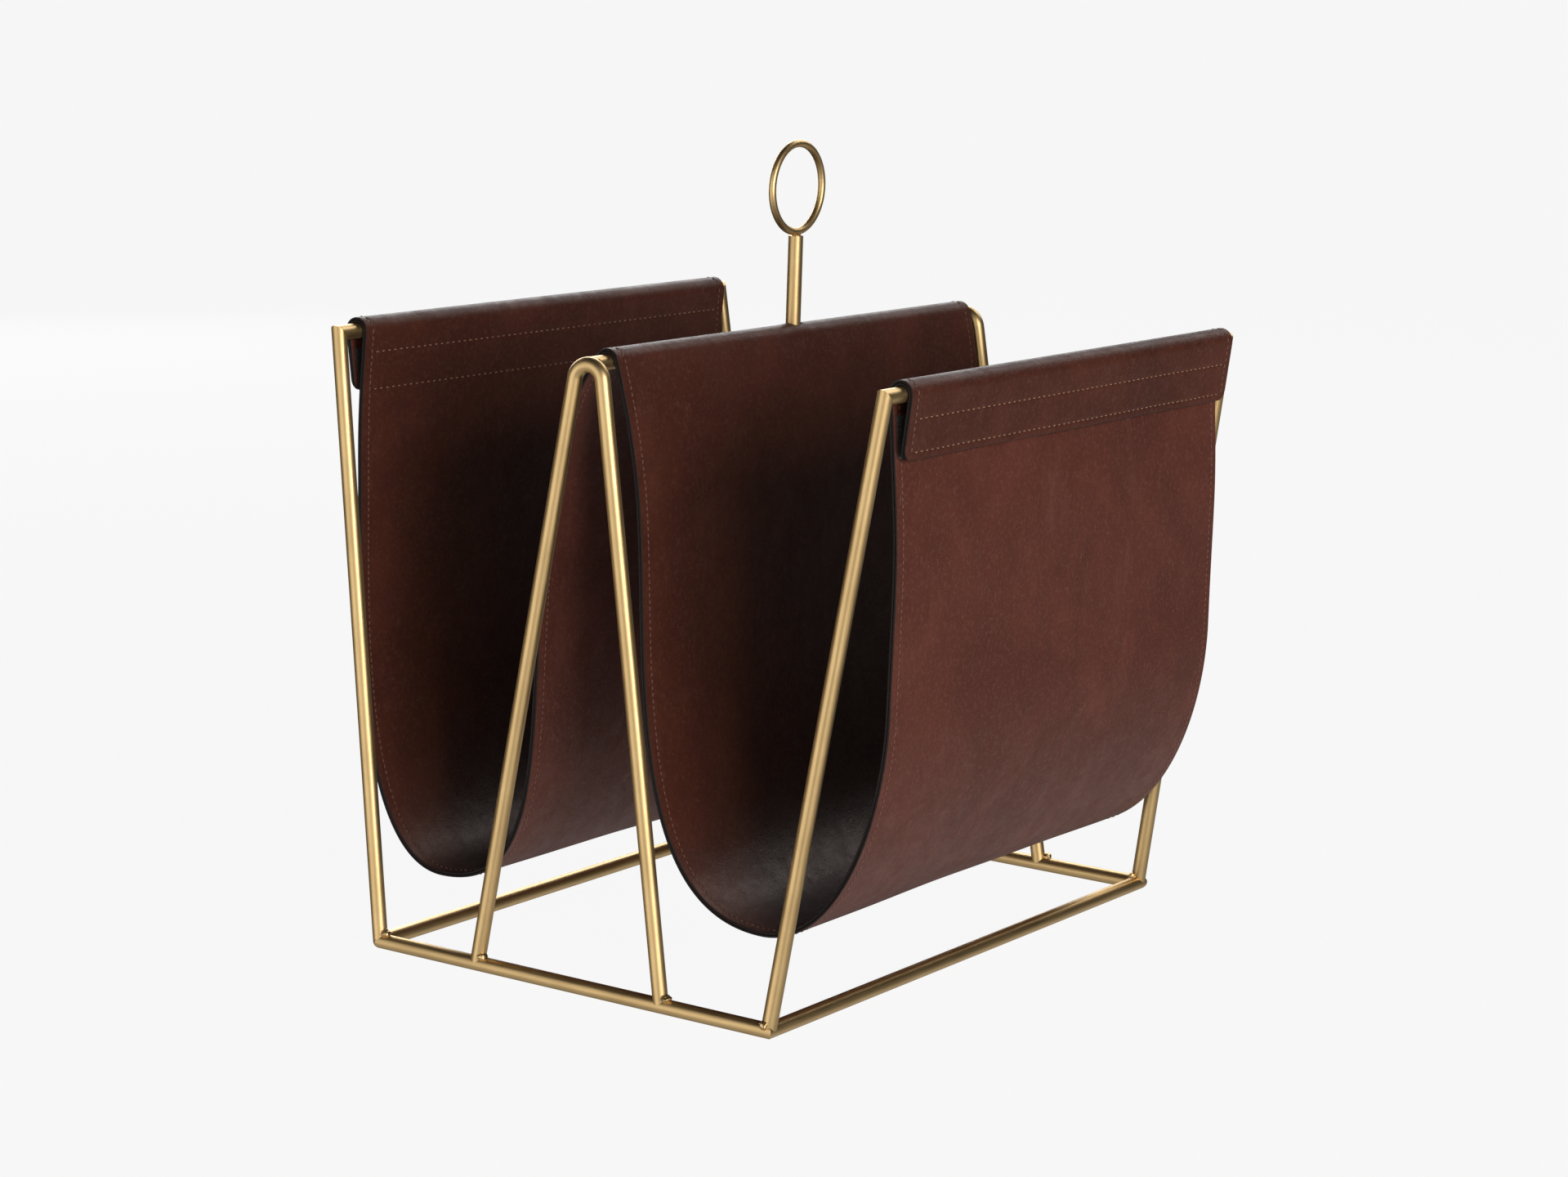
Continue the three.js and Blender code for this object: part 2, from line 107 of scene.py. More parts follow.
class Leaf(Named):
    """One of the two glued leaves: the under one lies on the bars, the face one shows in the pockets."""

    UNDER = -1
    FACE = 1


# ---------------------------------------------------------------- finishes


class NodeBench:
    """Adds and joins nodes in a tree."""

    def __init__(self, tree: bpy.types.NodeTree) -> None:
        """Starts on a tree of nodes.

        Args:
            tree: The nodes of a material or of the room.
        """
        self.tree = tree

    def add(self, kind: str, **settings: object) -> bpy.types.Node:
        """Adds a node.

        Args:
            kind: The node's type without its ShaderNode prefix.
            **settings: Properties of the node.

        Returns:
            The new node.
        """
        node = self.tree.nodes.new("ShaderNode" + kind)
        for name, value in settings.items():
            setattr(node, name, value)
        return node

    def join(self, source: bpy.types.NodeSocket, target: bpy.types.NodeSocket) -> None:
        """Joins an output to an input."""
        self.tree.links.new(source, target)

    def maths(self, operation: str, first: bpy.types.NodeSocket, second: object) -> bpy.types.NodeSocket:
        """Does sums on a value.

        Args:
            operation: The Math node's operation.
            first: The first value.
            second: The second value, a socket or a number.

        Returns:
            The result.
        """
        node = self.add("Math", operation=operation)
        self.join(first, node.inputs[0])
        if isinstance(second, float):
            node.inputs[1].default_value = second
        else:
            self.join(second, node.inputs[1])
        return node.outputs[0]


class MaterialBench(NodeBench):
    """Builds one material's nodes around its Principled shader."""

    def __init__(self, name: str) -> None:
        """Makes the material.

        Args:
            name: The material's name.
        """
        self.material = bpy.data.materials.new(name)
        self.material.use_nodes = True
        super().__init__(self.material.node_tree)
        self.shader = self.tree.nodes["Principled BSDF"]

    def set(self, **values: object) -> None:
        """Sets sockets of the shader.

        Args:
            **values: Socket names, with _ for a space, and their values.
        """
        for name, value in values.items():
            self.shader.inputs[name.replace("_", " ").title().replace("Ior", "IOR")].default_value = value

    def feed(self, name: str, source: bpy.types.NodeSocket) -> None:
        """Joins an output to the shader's socket of that name."""
        self.join(source, self.shader.inputs[name])

    def place(self, scale: Colour = (1.0, 1.0, 1.0), uv_map: str = "") -> bpy.types.NodeSocket:
        """A position in the material.

        Args:
            scale: Stretch along each axis.
            uv_map: A map laid along a piece; without one, the piece's own metres.

        Returns:
            The vector output.
        """
        if uv_map:
            source = self.add("UVMap", uv_map=uv_map).outputs["UV"]
        else:
            source = self.add("TexCoord").outputs["Object"]
        mapping = self.add("Mapping")
        mapping.inputs["Scale"].default_value = scale
        self.join(source, mapping.inputs["Vector"])
        return mapping.outputs["Vector"]

    def noise(self, vector: bpy.types.NodeSocket, scale: float, detail: float = 3.0, rough: float = 0.55,
              twist: float = 0.0) -> bpy.types.NodeSocket:
        """A noise value.

        Args:
            vector: Where to read it.
            scale: Waves per metre.
            detail: Octaves.
            rough: Strength of the finer octaves.
            twist: Distortion.

        Returns:
            The factor output.
        """
        node = self.add("TexNoise")
        numbers = {"Scale": scale, "Detail": detail, "Roughness": rough, "Distortion": twist}
        for name, number in numbers.items():
            node.inputs[name].default_value = number
        self.join(vector, node.inputs["Vector"])
        return node.outputs["Fac"]

    def ramp(self, value: bpy.types.NodeSocket, low: float, high: float, start: float = 0.0,
             end: float = 1.0) -> bpy.types.NodeSocket:
        """Maps a value's range to another, clamped at both ends.

        Args:
            value: The value.
            low: Value that gives start.
            high: Value that gives end.
            start: Result at low.
            end: Result at high.

        Returns:
            The mapped value.
        """
        node = self.add("MapRange", interpolation_type="SMOOTHSTEP")
        numbers = {"From Min": low, "From Max": high, "To Min": start, "To Max": end}
        for name, number in numbers.items():
            node.inputs[name].default_value = number
        self.join(value, node.inputs["Value"])
        return node.outputs["Result"]

    def blend(self, factor: bpy.types.NodeSocket, first: object, second: object) -> bpy.types.NodeSocket:
        """Mixes two colours.

        Args:
            factor: Share of the second colour.
            first: A colour or a socket.
            second: A colour or a socket.

        Returns:
            The mixed colour.
        """
        node = self.add("Mix", data_type="RGBA", blend_type="MIX")
        self.join(factor, node.inputs[0])
        for socket, colour in ((node.inputs[6], first), (node.inputs[7], second)):
            if isinstance(colour, tuple):
                socket.default_value = (*colour, 1.0)
            else:
                self.join(colour, socket)
        return node.outputs[2]

    def bump(self, heights: list[tuple[bpy.types.NodeSocket, float]]) -> None:
        """Raises the surface.

        Args:
            heights: Each height from 0 to 1 with its depth in metres.
        """
        normal = None
        for height, depth in heights:
            node = self.add("Bump")
            node.inputs["Strength"].default_value = 1.0
            node.inputs["Distance"].default_value = depth
            self.join(height, node.inputs["Height"])
            if normal:
                self.join(normal, node.inputs["Normal"])
            normal = node.outputs["Normal"]
        self.feed("Normal", normal)


@dataclass(frozen=True)
class BrassFinish:
    """Satin antique brass, brushed along the bar."""

    name: str = "satin_brass"
    light: Colour = (0.66, 0.46, 0.215)
    dark: Colour = (0.48, 0.32, 0.14)
    soot: Colour = (0.16, 0.095, 0.05)
    roughness: tuple[float, float] = (0.36, 0.5)
    streak_stretch: Colour = (1500.0, 30.0, 1.0)
    streak_depth: float = 0.000012
    speck_depth: float = 0.000006

    def material(self) -> bpy.types.Material:
        """Mixes the brass material.

        Returns:
            The material.
        """
        bench = MaterialBench(self.name)
        bench.set(metallic=1.0)
        here = bench.place()
        along = bench.place(self.streak_stretch, BAR_MAP)
        streaks = bench.noise(along, scale=1.0, detail=4.0, rough=0.6)
        cloud = bench.noise(here, scale=24.0, detail=4.0, rough=0.6)
        specks = bench.noise(here, scale=1100.0, detail=2.0)
        pits = bench.noise(here, scale=150.0, detail=5.0, rough=0.7)
        tone = bench.blend(bench.ramp(cloud, 0.3, 0.72, 0.0, 0.55), self.light, self.dark)
        tone = bench.blend(bench.ramp(streaks, 0.55, 0.95, 0.0, 0.35), tone, self.dark)
        tone = bench.blend(bench.ramp(pits, 0.7, 0.78, 0.0, 0.6), tone, self.soot)
        bench.feed("Base Color", tone)
        bench.feed("Roughness", bench.ramp(streaks, 0.25, 0.8, *self.roughness))
        bench.bump([(streaks, self.streak_depth), (specks, self.speck_depth)])
        return bench.material


@dataclass(frozen=True)
class WeldFinish:
    """Bright bead of the weld, mottled with darker patches."""

    name: str = "weld_bead"
    light: Colour = (0.7, 0.51, 0.26)
    dark: Colour = (0.44, 0.29, 0.13)
    roughness: tuple[float, float] = (0.42, 0.24)
    lump_depth: float = 0.00012

    def material(self) -> bpy.types.Material:
        """Mixes the weld's material.

        Returns:
            The material.
        """
        bench = MaterialBench(self.name)
        bench.set(metallic=1.0)
        lumps = bench.noise(bench.place(), scale=420.0, detail=4.0, rough=0.6)
        bench.feed("Base Color", bench.blend(bench.ramp(lumps, 0.35, 0.65), self.dark, self.light))
        bench.feed("Roughness", bench.ramp(lumps, 0.3, 0.7, *self.roughness))
        bench.bump([(lumps, self.lump_depth)])
        return bench.material


@dataclass(frozen=True)
class LeatherFinish:
    """Smooth waxed leather: cloudy colour, fine pores, hairline scuffs."""

    name: str
    deep: Colour
    warm: Colour
    worn: Colour
    shine: float
    wax: Colour = (1.0, 0.78, 0.66)
    roughness: tuple[float, float] = (0.42, 0.56)
    pore_scale: float = 1500.0
    pore_depth: float = 0.0001
    wave_depth: float = 0.0006
    scuff_depth: float = 0.00008
    scuff_strength: float = 0.85
    scuff_width: float = 0.005

    def material(self) -> bpy.types.Material:
        """Mixes the leather's material.

        Returns:
            The material.
        """
        bench = MaterialBench(self.name)
        bench.set(specular_ior_level=self.shine, specular_tint=(*self.wax, 1.0))
        here = bench.place()
        cloud = bench.noise(here, scale=15.0, detail=5.0, rough=0.62, twist=0.8)
        mottle = bench.noise(here, scale=75.0, detail=7.0, rough=0.72, twist=0.5)
        flecks = bench.noise(here, scale=420.0, detail=4.0, rough=0.7)
        drift = bench.noise(bench.place((1.0, 1.0, 0.4)), scale=34.0, detail=5.0, rough=0.65)
        tone = bench.blend(bench.ramp(cloud, 0.3, 0.7), self.deep, self.warm)
        tone = bench.blend(bench.ramp(mottle, 0.38, 0.68, 0.0, 0.5), tone, self.deep)
        tone = bench.blend(bench.ramp(flecks, 0.48, 0.68, 0.0, 0.42), tone, self.worn)
        tone = bench.blend(bench.ramp(drift, 0.56, 0.76, 0.0, 0.32), tone, self.worn)
        long_scuffs = self.scuffs(bench, stretch=(1.0, 1.0, 0.5), scale=60.0, twist=1.6)
        short_scuffs = self.scuffs(bench, stretch=(0.7, 0.6, 1.3), scale=110.0, twist=2.4)
        scuffed = bench.maths("MAXIMUM", long_scuffs, short_scuffs)
        tone = bench.blend(bench.maths("MULTIPLY", scuffed, self.scuff_strength), tone, self.worn)
        bench.feed("Base Color", tone)
        bench.feed("Roughness", bench.ramp(mottle, 0.3, 0.75, *self.roughness))
        pores = bench.add("TexVoronoi", feature="SMOOTH_F1")
        pores.inputs["Scale"].default_value = self.pore_scale
        bench.join(here, pores.inputs["Vector"])
        grain = bench.noise(here, scale=620.0, detail=5.0, rough=0.65)
        waves = bench.noise(here, scale=60.0, detail=3.0, rough=0.5)
        bench.bump([(waves, self.wave_depth), (grain, self.pore_depth),
                    (pores.outputs["Distance"], self.pore_depth), (scuffed, -self.scuff_depth)])
        return bench.material

    def scuffs(self, bench: MaterialBench, stretch: Colour, scale: float,
               twist: float) -> bpy.types.NodeSocket:
        """Hairline scuffs, in patches.

        Args:
            bench: The material's nodes.
            stretch: Stretch of the lines along each axis.
            scale: Waves per metre of the noise that they follow.
            twist: How much they wander.

        Returns:
            1 on a line and 0 elsewhere.
        """
        height = bench.noise(bench.place(stretch), scale, detail=3.0, rough=0.5, twist=twist)
        ridge = bench.maths("ABSOLUTE", bench.maths("SUBTRACT", height, 0.5), 0.0)
        patch = bench.ramp(bench.noise(bench.place(), scale * 0.4, detail=2.0), 0.5, 0.62)
        return bench.maths("MULTIPLY", bench.ramp(ridge, 0.0, self.scuff_width, 1.0, 0.0), patch)


@dataclass(frozen=True)
class EdgeFinish:
    """Black dressing painted on the leather's cut edges."""

    name: str = "edge_dressing"
    colour: Colour = (0.012, 0.009, 0.008)
    thin: Colour = (0.04, 0.022, 0.016)
    shine: float = 0.2
    roughness: tuple[float, float] = (0.5, 0.7)
    drip_depth: float = 0.0001

    def material(self) -> bpy.types.Material:
        """Mixes the edge dressing's material.

        Returns:
            The material.
        """
        bench = MaterialBench(self.name)
        bench.set(specular_ior_level=self.shine)
        drips = bench.noise(bench.place(), scale=700.0, detail=4.0, rough=0.6)
        bench.feed("Base Color", bench.blend(bench.ramp(drips, 0.5, 0.8), self.colour, self.thin))
        bench.feed("Roughness", bench.ramp(drips, 0.3, 0.7, *self.roughness))
        bench.bump([(drips, self.drip_depth)])
        return bench.material


@dataclass(frozen=True)
class FibreFinish:
    """Spun fibre: stitching thread, or the black nylon of the hook-and-loop strips."""

    name: str
    light: Colour
    dark: Colour
    roughness: float
    scale: float
    fuzz: float = 0.3
    fibre_depth: float = 0.0002

    def material(self) -> bpy.types.Material:
        """Mixes the fibre's material.

        Returns:
            The material.
        """
        bench = MaterialBench(self.name)
        bench.set(roughness=self.roughness, sheen_weight=self.fuzz)
        fibres = bench.noise(bench.place(), self.scale, detail=4.0, rough=0.7, twist=1.0)
        bench.feed("Base Color", bench.blend(bench.ramp(fibres, 0.35, 0.65), self.dark, self.light))
        bench.bump([(fibres, self.fibre_depth)])
        return bench.material


@dataclass(frozen=True)
class FloorFinish:
    """Pale matt paper under the rack."""

    name: str = "pale_floor"
    glow: float = 0.922
    paper: float = 0.03
    fleck: float = 1.01

    def material(self) -> bpy.types.Material:
        """Mixes the floor's material.

        Returns:
            The material.
        """
        bench = MaterialBench(self.name)
        fibres = bench.noise(bench.place(), scale=3.0, detail=2.0)
        bench.feed("Base Color", bench.blend(fibres, (self.paper,) * 3, (self.paper * self.fleck,) * 3))
        bench.set(roughness=1.0, specular_ior_level=0.0)
        bench.set(emission_color=(1.0, 1.0, 1.0, 1.0), emission_strength=self.glow)
        return bench.material


# The face leather is the under leather made darker: the shade inside the pockets is painted into its colour.
# The face leaf also shows on the outside of the flaps.
FACE_LEATHER_WITH_PAINTED_SHADE = LeatherFinish("face_leather", deep=(0.058, 0.0152, 0.0086), warm=(0.088, 0.0232, 0.0134),
                           worn=(0.13, 0.048, 0.031), shine=0.22)
UNDER_SHADE = LeatherFinish("under_leather", deep=(0.08, 0.0205, 0.0125), warm=(0.12, 0.031, 0.0192),
                            worn=(0.165, 0.064, 0.046), shine=0.33)
SEAM_THREAD = FibreFinish("seam_thread", (0.2, 0.072, 0.038), (0.1, 0.034, 0.018), 0.65, 2600.0)
ROW_THREAD = FibreFinish("row_thread", (0.4, 0.2, 0.09), (0.2, 0.09, 0.04), 0.6, 2600.0)
NYLON = FibreFinish("hook_and_loop_nylon", (0.02, 0.019, 0.019), (0.004, 0.004, 0.004), 0.75, 1400.0)


class Finishes:
    """Makes each material once and hands it out."""

    def __init__(self) -> None:
        """Starts with none made."""
        self.made: dict[str, bpy.types.Material] = {}

    def get(self, finish: object) -> bpy.types.Material:
        """The material of a finish.

        Args:
            finish: One of the finish dataclasses.

        Returns:
            Its material.
        """
        if finish.name not in self.made:
            self.made[finish.name] = finish.material()
        return self.made[finish.name]


FINISHES = Finishes()


# ---------------------------------------------------------------- meshes


def make_piece(name: str, points: np.ndarray, faces: list, finishes: list,
               sharp: float = 40.0) -> bpy.types.Object:
    """Makes a mesh object.

    Args:
        name: The piece's name.
        points: Its vertices, one row each.
        faces: Its faces, as lists of vertex numbers.
        finishes: The finishes of its material slots.
        sharp: Edges that turn by more than this many degrees stay sharp.

    Returns:
        The object, in the scene.
    """
    mesh = bpy.data.meshes.new(name)
    mesh.from_pydata(points.tolist(), [], faces)
    mesh.validate()
    for finish in finishes:
        mesh.materials.append(FINISHES.get(finish))
    mesh.polygons.foreach_set("use_smooth", [True] * len(mesh.polygons))
    mesh.set_sharp_from_angle(angle=math.radians(sharp))
    piece = bpy.data.objects.new(name, mesh)
    bpy.context.scene.collection.objects.link(piece)
    return piece


def strip_faces(rows: int, columns: int, closed: bool) -> list[tuple[int, int, int, int]]:
    """Faces of a grid of vertices numbered row by row.

    Args:
        rows: Number of rows.
        columns: Vertices in each row.
        closed: Whether the last column joins the first.

    Returns:
        The quads.
    """
    faces = []
    for low in range(0, (rows - 1) * columns, columns):
        high = low + columns
        for c in range(columns if closed else columns - 1):
            after = (c + 1) % columns
            faces.append((low + c, low + after, high + after, high + c))
    return faces


def slab_faces(rows: int, columns: int) -> list[tuple[int, int, int, int]]:
    """Faces of a closed slab between two grids, the upper one numbered first.

    Args:
        rows: Number of rows of each grid.
        columns: Vertices in each row.

    Returns:
        The quads of the two grids and of the rim between them.
    """
    total = rows * columns
    upper = strip_faces(rows, columns, False)
    faces = upper + [tuple(total + v for v in face[::-1]) for face in upper]
    end = columns - 1
    for a in range(0, total - columns, columns):
        b = a + columns
        faces.append((a, b, total + b, total + a))
        faces.append((b + end, a + end, total + a + end, total + b + end))
    for c in range(end):
        faces.append((c + 1, c, total + c, total + c + 1))
        a = total - columns + c
        faces.append((a, a + 1, total + a + 1, total + a))
    return faces


def unit(vector: np.ndarray) -> np.ndarray:
    """A vector at length one."""
    return vector / np.linalg.norm(vector)


def corners(node: str) -> tuple[np.ndarray, np.ndarray]:
    """The lowest and highest corner of a CAD node's box."""
    low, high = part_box(node)
    return np.array(low), np.array(high)


def dress(piece: bpy.types.Object) -> bpy.types.Object:
    """Reports a piece's name and its number of faces.

    Args:
        piece: The piece.

    Returns:
        The piece.
    """
    LOG.info("%s, %d faces", piece.name, len(piece.data.polygons))
    return piece


def settle(piece: bpy.types.Object, body: str, slot: str, *nodes: str) -> bpy.types.Object:
    """Rides a piece on a body, hides the CAD nodes that it stands for and reports it.

    Args:
        piece: The piece.
        body: The body that it moves with.
        slot: Not used.
        *nodes: The CAD nodes that it stands for, if any.

    Returns:
        The piece.
    """
    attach(piece, body)
    if nodes:
        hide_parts(*nodes)
    return dress(piece)


@dataclass
class Tube:
    """A round bar along a list of stations, with its own map for the brushing."""

    radius: float
    sides: int = 40
    stations: list = field(default_factory=list)

    def station(self, centre: np.ndarray, along: np.ndarray, cut: np.ndarray | None = None,
                share: float = 1.0) -> "Tube":
        """Adds a ring.

        Args:
            centre: Point of the axis.
            along: Direction of the axis.
            cut: Normal of the plane that the ring lies in, if it isn't square.
            share: The ring's radius as a share of the bar's.

        Returns:
            The tube.
        """
        self.stations.append((np.array(centre, float), unit(np.array(along, float)), cut, share))
        return self

    def stretch(self, start: np.ndarray, end: np.ndarray, shares: tuple[float, ...],
                along: np.ndarray | None = None) -> "Tube":
        """Adds square rings on a straight stretch.

        Args:
            start: Where the stretch starts.
            end: Where it ends.
            shares: Places of the rings as shares of the stretch.
            along: Direction of the axis, if it isn't the stretch's own.

        Returns:
            The tube.
        """
        for share in shares:
            self.station(start + (end - start) * share, end - start if along is None else along)
        return self

    def piece(self, name: str, closed: bool = False) -> bpy.types.Object:
        """Makes the object.

        Args:
            name: The piece's name.
            closed: Whether the bar closes on itself, as a ring does.

        Returns:
            The bar.
        """
        rings = []
        lengths = [0.0]
        across = None
        for index, (centre, along, cut, share) in enumerate(self.stations):
            if across is None:
                guess = UP if abs(along[2]) < 0.7 else np.array((0.0, 1.0, 0.0))
                across = unit(np.cross(along, guess))
            across = unit(across - along * float(across @ along))
            other = np.cross(along, across)
            angles = np.arange(self.sides) * 2 * math.pi / self.sides
            ring = share * self.radius * (np.outer(np.cos(angles), across) + np.outer(np.sin(angles), other))
            if cut is not None:
                ring = ring - np.outer((ring @ cut) / float(along @ cut), along)
            rings.append(centre + ring)
            if index:
                lengths.append(lengths[-1] + float(np.linalg.norm(centre - self.stations[index - 1][0])))
        if closed:
            rings.append(rings[0])
            lengths.append(lengths[-1] + float(np.linalg.norm(self.stations[0][0] - self.stations[-1][0])))
        rows = len(rings)
        count = self.sides * (rows - 1 if closed else rows)
        faces = [tuple(v % count for v in face) for face in strip_faces(rows, self.sides, True)]
        if not closed:
            faces.append(tuple(reversed(range(self.sides))))
            faces.append(tuple(range(count - self.sides, count)))
        piece = make_piece(name, np.vstack(rings)[:count], faces, [BrassFinish()])
        self.lay_map(piece, rows, lengths)
        return piece

    def lay_map(self, piece: bpy.types.Object, rows: int, lengths: list[float]) -> None:
        """Lays the brushing map: round the bar in U and along it in V, in metres.

        Args:
            piece: The bar.
            rows: Number of rings.
            lengths: Length along the bar at each ring.
        """
        width = 2 * math.pi * self.radius / self.sides
        flat = []
        for r in range(rows - 1):
            for c in range(self.sides):
                flat += [(c * width, lengths[r]), ((c + 1) * width, lengths[r]),
                         ((c + 1) * width, lengths[r + 1]), (c * width, lengths[r + 1])]
        flat += [(0.0, 0.0)] * (len(piece.data.loops) - len(flat))
        layer = piece.data.uv_layers.new(name=BAR_MAP)
        layer.data.foreach_set("uv", [number for pair in flat for number in pair])


# ---------------------------------------------------------------- bar frame


@dataclass
class BarFrame:
    """The welded brass frame: base, uprights, top bars, centre hairpins and the ring handle."""

    radius: float = 4.0 * MM
    hairpin_bend: float = 8.8 * MM
    bend_steps: int = 28
    foot_splay: float = 0.6
    ring_steps: int = 96
    ring_sides: int = 28
    knuckle_steps: int = 20
    sunk: float = 1.2 * MM
    foot_beads: dict = field(default_factory=lambda: {
        (Side.LEFT, End.FRONT): (4.0, -0.8, 4.6),
        (Side.RIGHT, End.FRONT): (-0.6, -3.2, 3.4),
        (Side.LEFT, End.BACK): (3.6, 0.6, 4.4),
        (Side.RIGHT, End.BACK): (-1.6, -4.2, 4.2),
    })
    foot_bead: Colour = (2.5 * MM, 2.5 * MM, 2.3 * MM)
    hairpin_bead: Colour = (2.5 * MM, 2.8 * MM, 2.2 * MM)
    ridge_bead: Colour = (1.8 * MM, 1.3 * MM, 1.6 * MM)
    ring_bead: Colour = (2.3 * MM, 3.2 * MM, 1.3 * MM)
    bead_rows: int = 18
    bead_columns: int = 26
    bead_swell: tuple[float, float] = (0.28, 1.6)
    bead_grit: tuple[float, float] = (0.09, 5.0)

    def axis(self, node: str) -> np.ndarray:
        """The middle of a CAD node's box."""
        low, high = corners(node)
        return (low + high) / 2

    def base_corner(self, side: Side, end: End) -> np.ndarray:
        """Where the axes of two base bars meet.

        Args:
            side: The corner's side.
            end: The corner's end.

        Returns:
            The point.
        """
        x = self.axis(f"base_bar_{side.word}")[0]
        y = self.axis(f"base_bar_{end.word}")[1]
        return np.array((x, y, self.radius))

    def top_corner(self, side: Side, end: End) -> np.ndarray:
        """Where the axes of an upright and its top bar meet.

        Args:
            side: The corner's side.
            end: The corner's end.

        Returns:
            The point.
        """
        bar = self.axis(f"top_bar_{side.word}")
        low, high = corners(f"upright_{end.word}_{side.word}")
        edge = low[1] if end is End.BACK else high[1]
        return np.array((bar[0], edge + end.value * self.radius, bar[2]))

    def keep(self, piece: bpy.types.Object, *nodes: str) -> None:
        """Rides a brass piece on the frame in place of its CAD nodes, if it has any."""
        settle(piece, "frame", "brass", *nodes)

    def mitre(self, away: np.ndarray, other: np.ndarray) -> np.ndarray:
        """Normal of the plane that halves a corner between two bars that leave it."""
        return unit(unit(away) - unit(other))

    def mitred_bar(self, node: str, start: np.ndarray, end: np.ndarray, before: np.ndarray | None,
                   after: np.ndarray) -> None:
        """Makes a bar that is mitred at its ends.

        Args:
            node: The node that it stands for.
            start: Corner where it starts.
            end: Corner where it ends.
            before: Direction in which the neighbour leaves the first corner, or None for a ground corner.
            after: Direction in which the neighbour leaves the second corner.
        """
        along = unit(end - start)
        tube = Tube(self.radius)
        tube.station(start, along, None if before is None else self.mitre(along, before))
        tube.stretch(start, end, (0.02, 0.25, 0.5, 0.75, 0.98))
        tube.station(end, along, self.mitre(-along, after))
        self.keep(tube.piece(node.replace("bar", "rod")), node)

    def build_base(self) -> None:
        """Makes the four base bars. The front left corner is ground round, the others are mitred."""
        for end in End:
            inward = np.array((0.0, -end.value, 0.0))
            feet = [self.base_corner(side, end) for side in Side]
            self.mitred_bar(f"base_bar_{end.word}", *feet, None if end is End.FRONT else inward, inward)
        for side in Side:
            inward = np.array((-side.value, 0.0, 0.0))
            feet = [self.base_corner(side, end) for end in End]
            self.mitred_bar(f"base_bar_{side.word}", *feet, None if side is Side.LEFT else inward, inward)
        self.knuckle(self.base_corner(Side.LEFT, End.FRONT))

    def knuckle(self, corner: np.ndarray) -> None:
        """Makes the ball that a ground corner ends in.

        Args:
            corner: Where the bars' axes meet.
        """
        ball = Tube(self.radius)
        for i in range(1, self.knuckle_steps):
            polar = math.pi * i / self.knuckle_steps
            ball.station(corner - UP * self.radius * math.cos(polar), UP, share=math.sin(polar))
        self.keep(ball.piece("base_knuckle_front_left"))

    def build_sides(self) -> None:
        """Makes the uprights and the side top bars."""
        for side in Side:
            for end in End:
                foot, top = self.base_corner(side, end), self.top_corner(side, end)
                along = unit(top - foot)
                tube = Tube(self.radius).station(foot + along * self.sunk, along)
                tube.stretch(foot, top, (0.05, 0.35, 0.65, 0.95))
                inward = np.array((0.0, -end.value, 0.0))
                tube.station(top, along, self.mitre(-along, inward))
                name = f"upright_{end.word}_{side.word}"
                self.keep(tube.piece(name + "_rod"), name)
            tops = [self.top_corner(side, end) for end in End]
            downs = [self.base_corner(side, end) - self.top_corner(side, end) for end in End]
            self.mitred_bar(f"top_bar_{side.word}", *tops, *downs)

    def hairpin_stations(self, end: End) -> tuple[list, np.ndarray]:
        """The axis of a hairpin.

        Args:
            end: Which hairpin.

        Returns:
            Its points with their directions, and the top of its bend.
        """
        low, high = corners(f"centre_hairpin_{end.word}")
        foot = np.array((0.0, self.base_corner(Side.LEFT, end)[1], self.radius))
        near = high[1] if end is End.FRONT else low[1]
        apex = np.array((0.0, near + end.value * self.radius, high[2] - self.radius))
        up = unit(apex - foot)
        across = np.array((1.0, 0.0, 0.0))
        centre = apex - up * self.hairpin_bend
        height = float(np.linalg.norm(centre - foot))
        reach = self.reach(low, high)
        lean = math.atan2(reach, height) - math.asin(self.hairpin_bend / math.hypot(reach, height))
        stations = [(foot - across * reach, across * math.sin(lean) + up * math.cos(lean))]
        for i in range(self.bend_steps + 1):
            angle = math.pi - lean - (math.pi - 2 * lean) * i / self.bend_steps
            radial = across * math.cos(angle) + up * math.sin(angle)
            along = across * math.sin(angle) - up * math.cos(angle)
            stations.append((centre + radial * self.hairpin_bend, along))
        stations.append((foot + across * reach, across * math.sin(lean) - up * math.cos(lean)))
        return stations, apex

    def reach(self, low: np.ndarray, high: np.ndarray) -> float:
        """Half the distance between a hairpin's feet at the base bar's axis.

        Args:
            low: Lowest corner of the hairpin's box.
            high: Highest corner of the hairpin's box.

        Returns:
            The half distance.
        """
        base_top = low[2] - self.radius
        slope = (high[0] - self.radius) / (high[2] - low[2])
        return float(high[0] - self.radius + slope * base_top * self.foot_splay)

    def build_centre(self) -> None:
        """Makes the hairpins and the bar between their bends."""
        apexes = []
        for end in End:
            stations, apex = self.hairpin_stations(end)
            apexes.append(apex)
            (foot, rise), (shoulder, _) = stations[:2]
            (far_shoulder, _), (far_foot, fall) = stations[-2:]
            tube = Tube(self.radius).station(foot + rise * self.sunk, rise)
            tube.stretch(foot, shoulder, (0.1, 0.4, 0.7, 0.95), rise)
            for centre, along in stations[1:-1]:
                tube.station(centre, along)
            tube.stretch(far_shoulder, far_foot, (0.05, 0.3, 0.6, 0.9), fall)
            tube.station(far_foot - fall * self.sunk, fall)
            self.keep(tube.piece(f"centre_hairpin_{end.word}_rod"), f"centre_hairpin_{end.word}")
        ridge = Tube(self.radius).stretch(*apexes, (0.0, 0.2, 0.5, 0.8, 1.0))
        self.keep(ridge.piece("top_rod_centre"), "top_bar_centre")

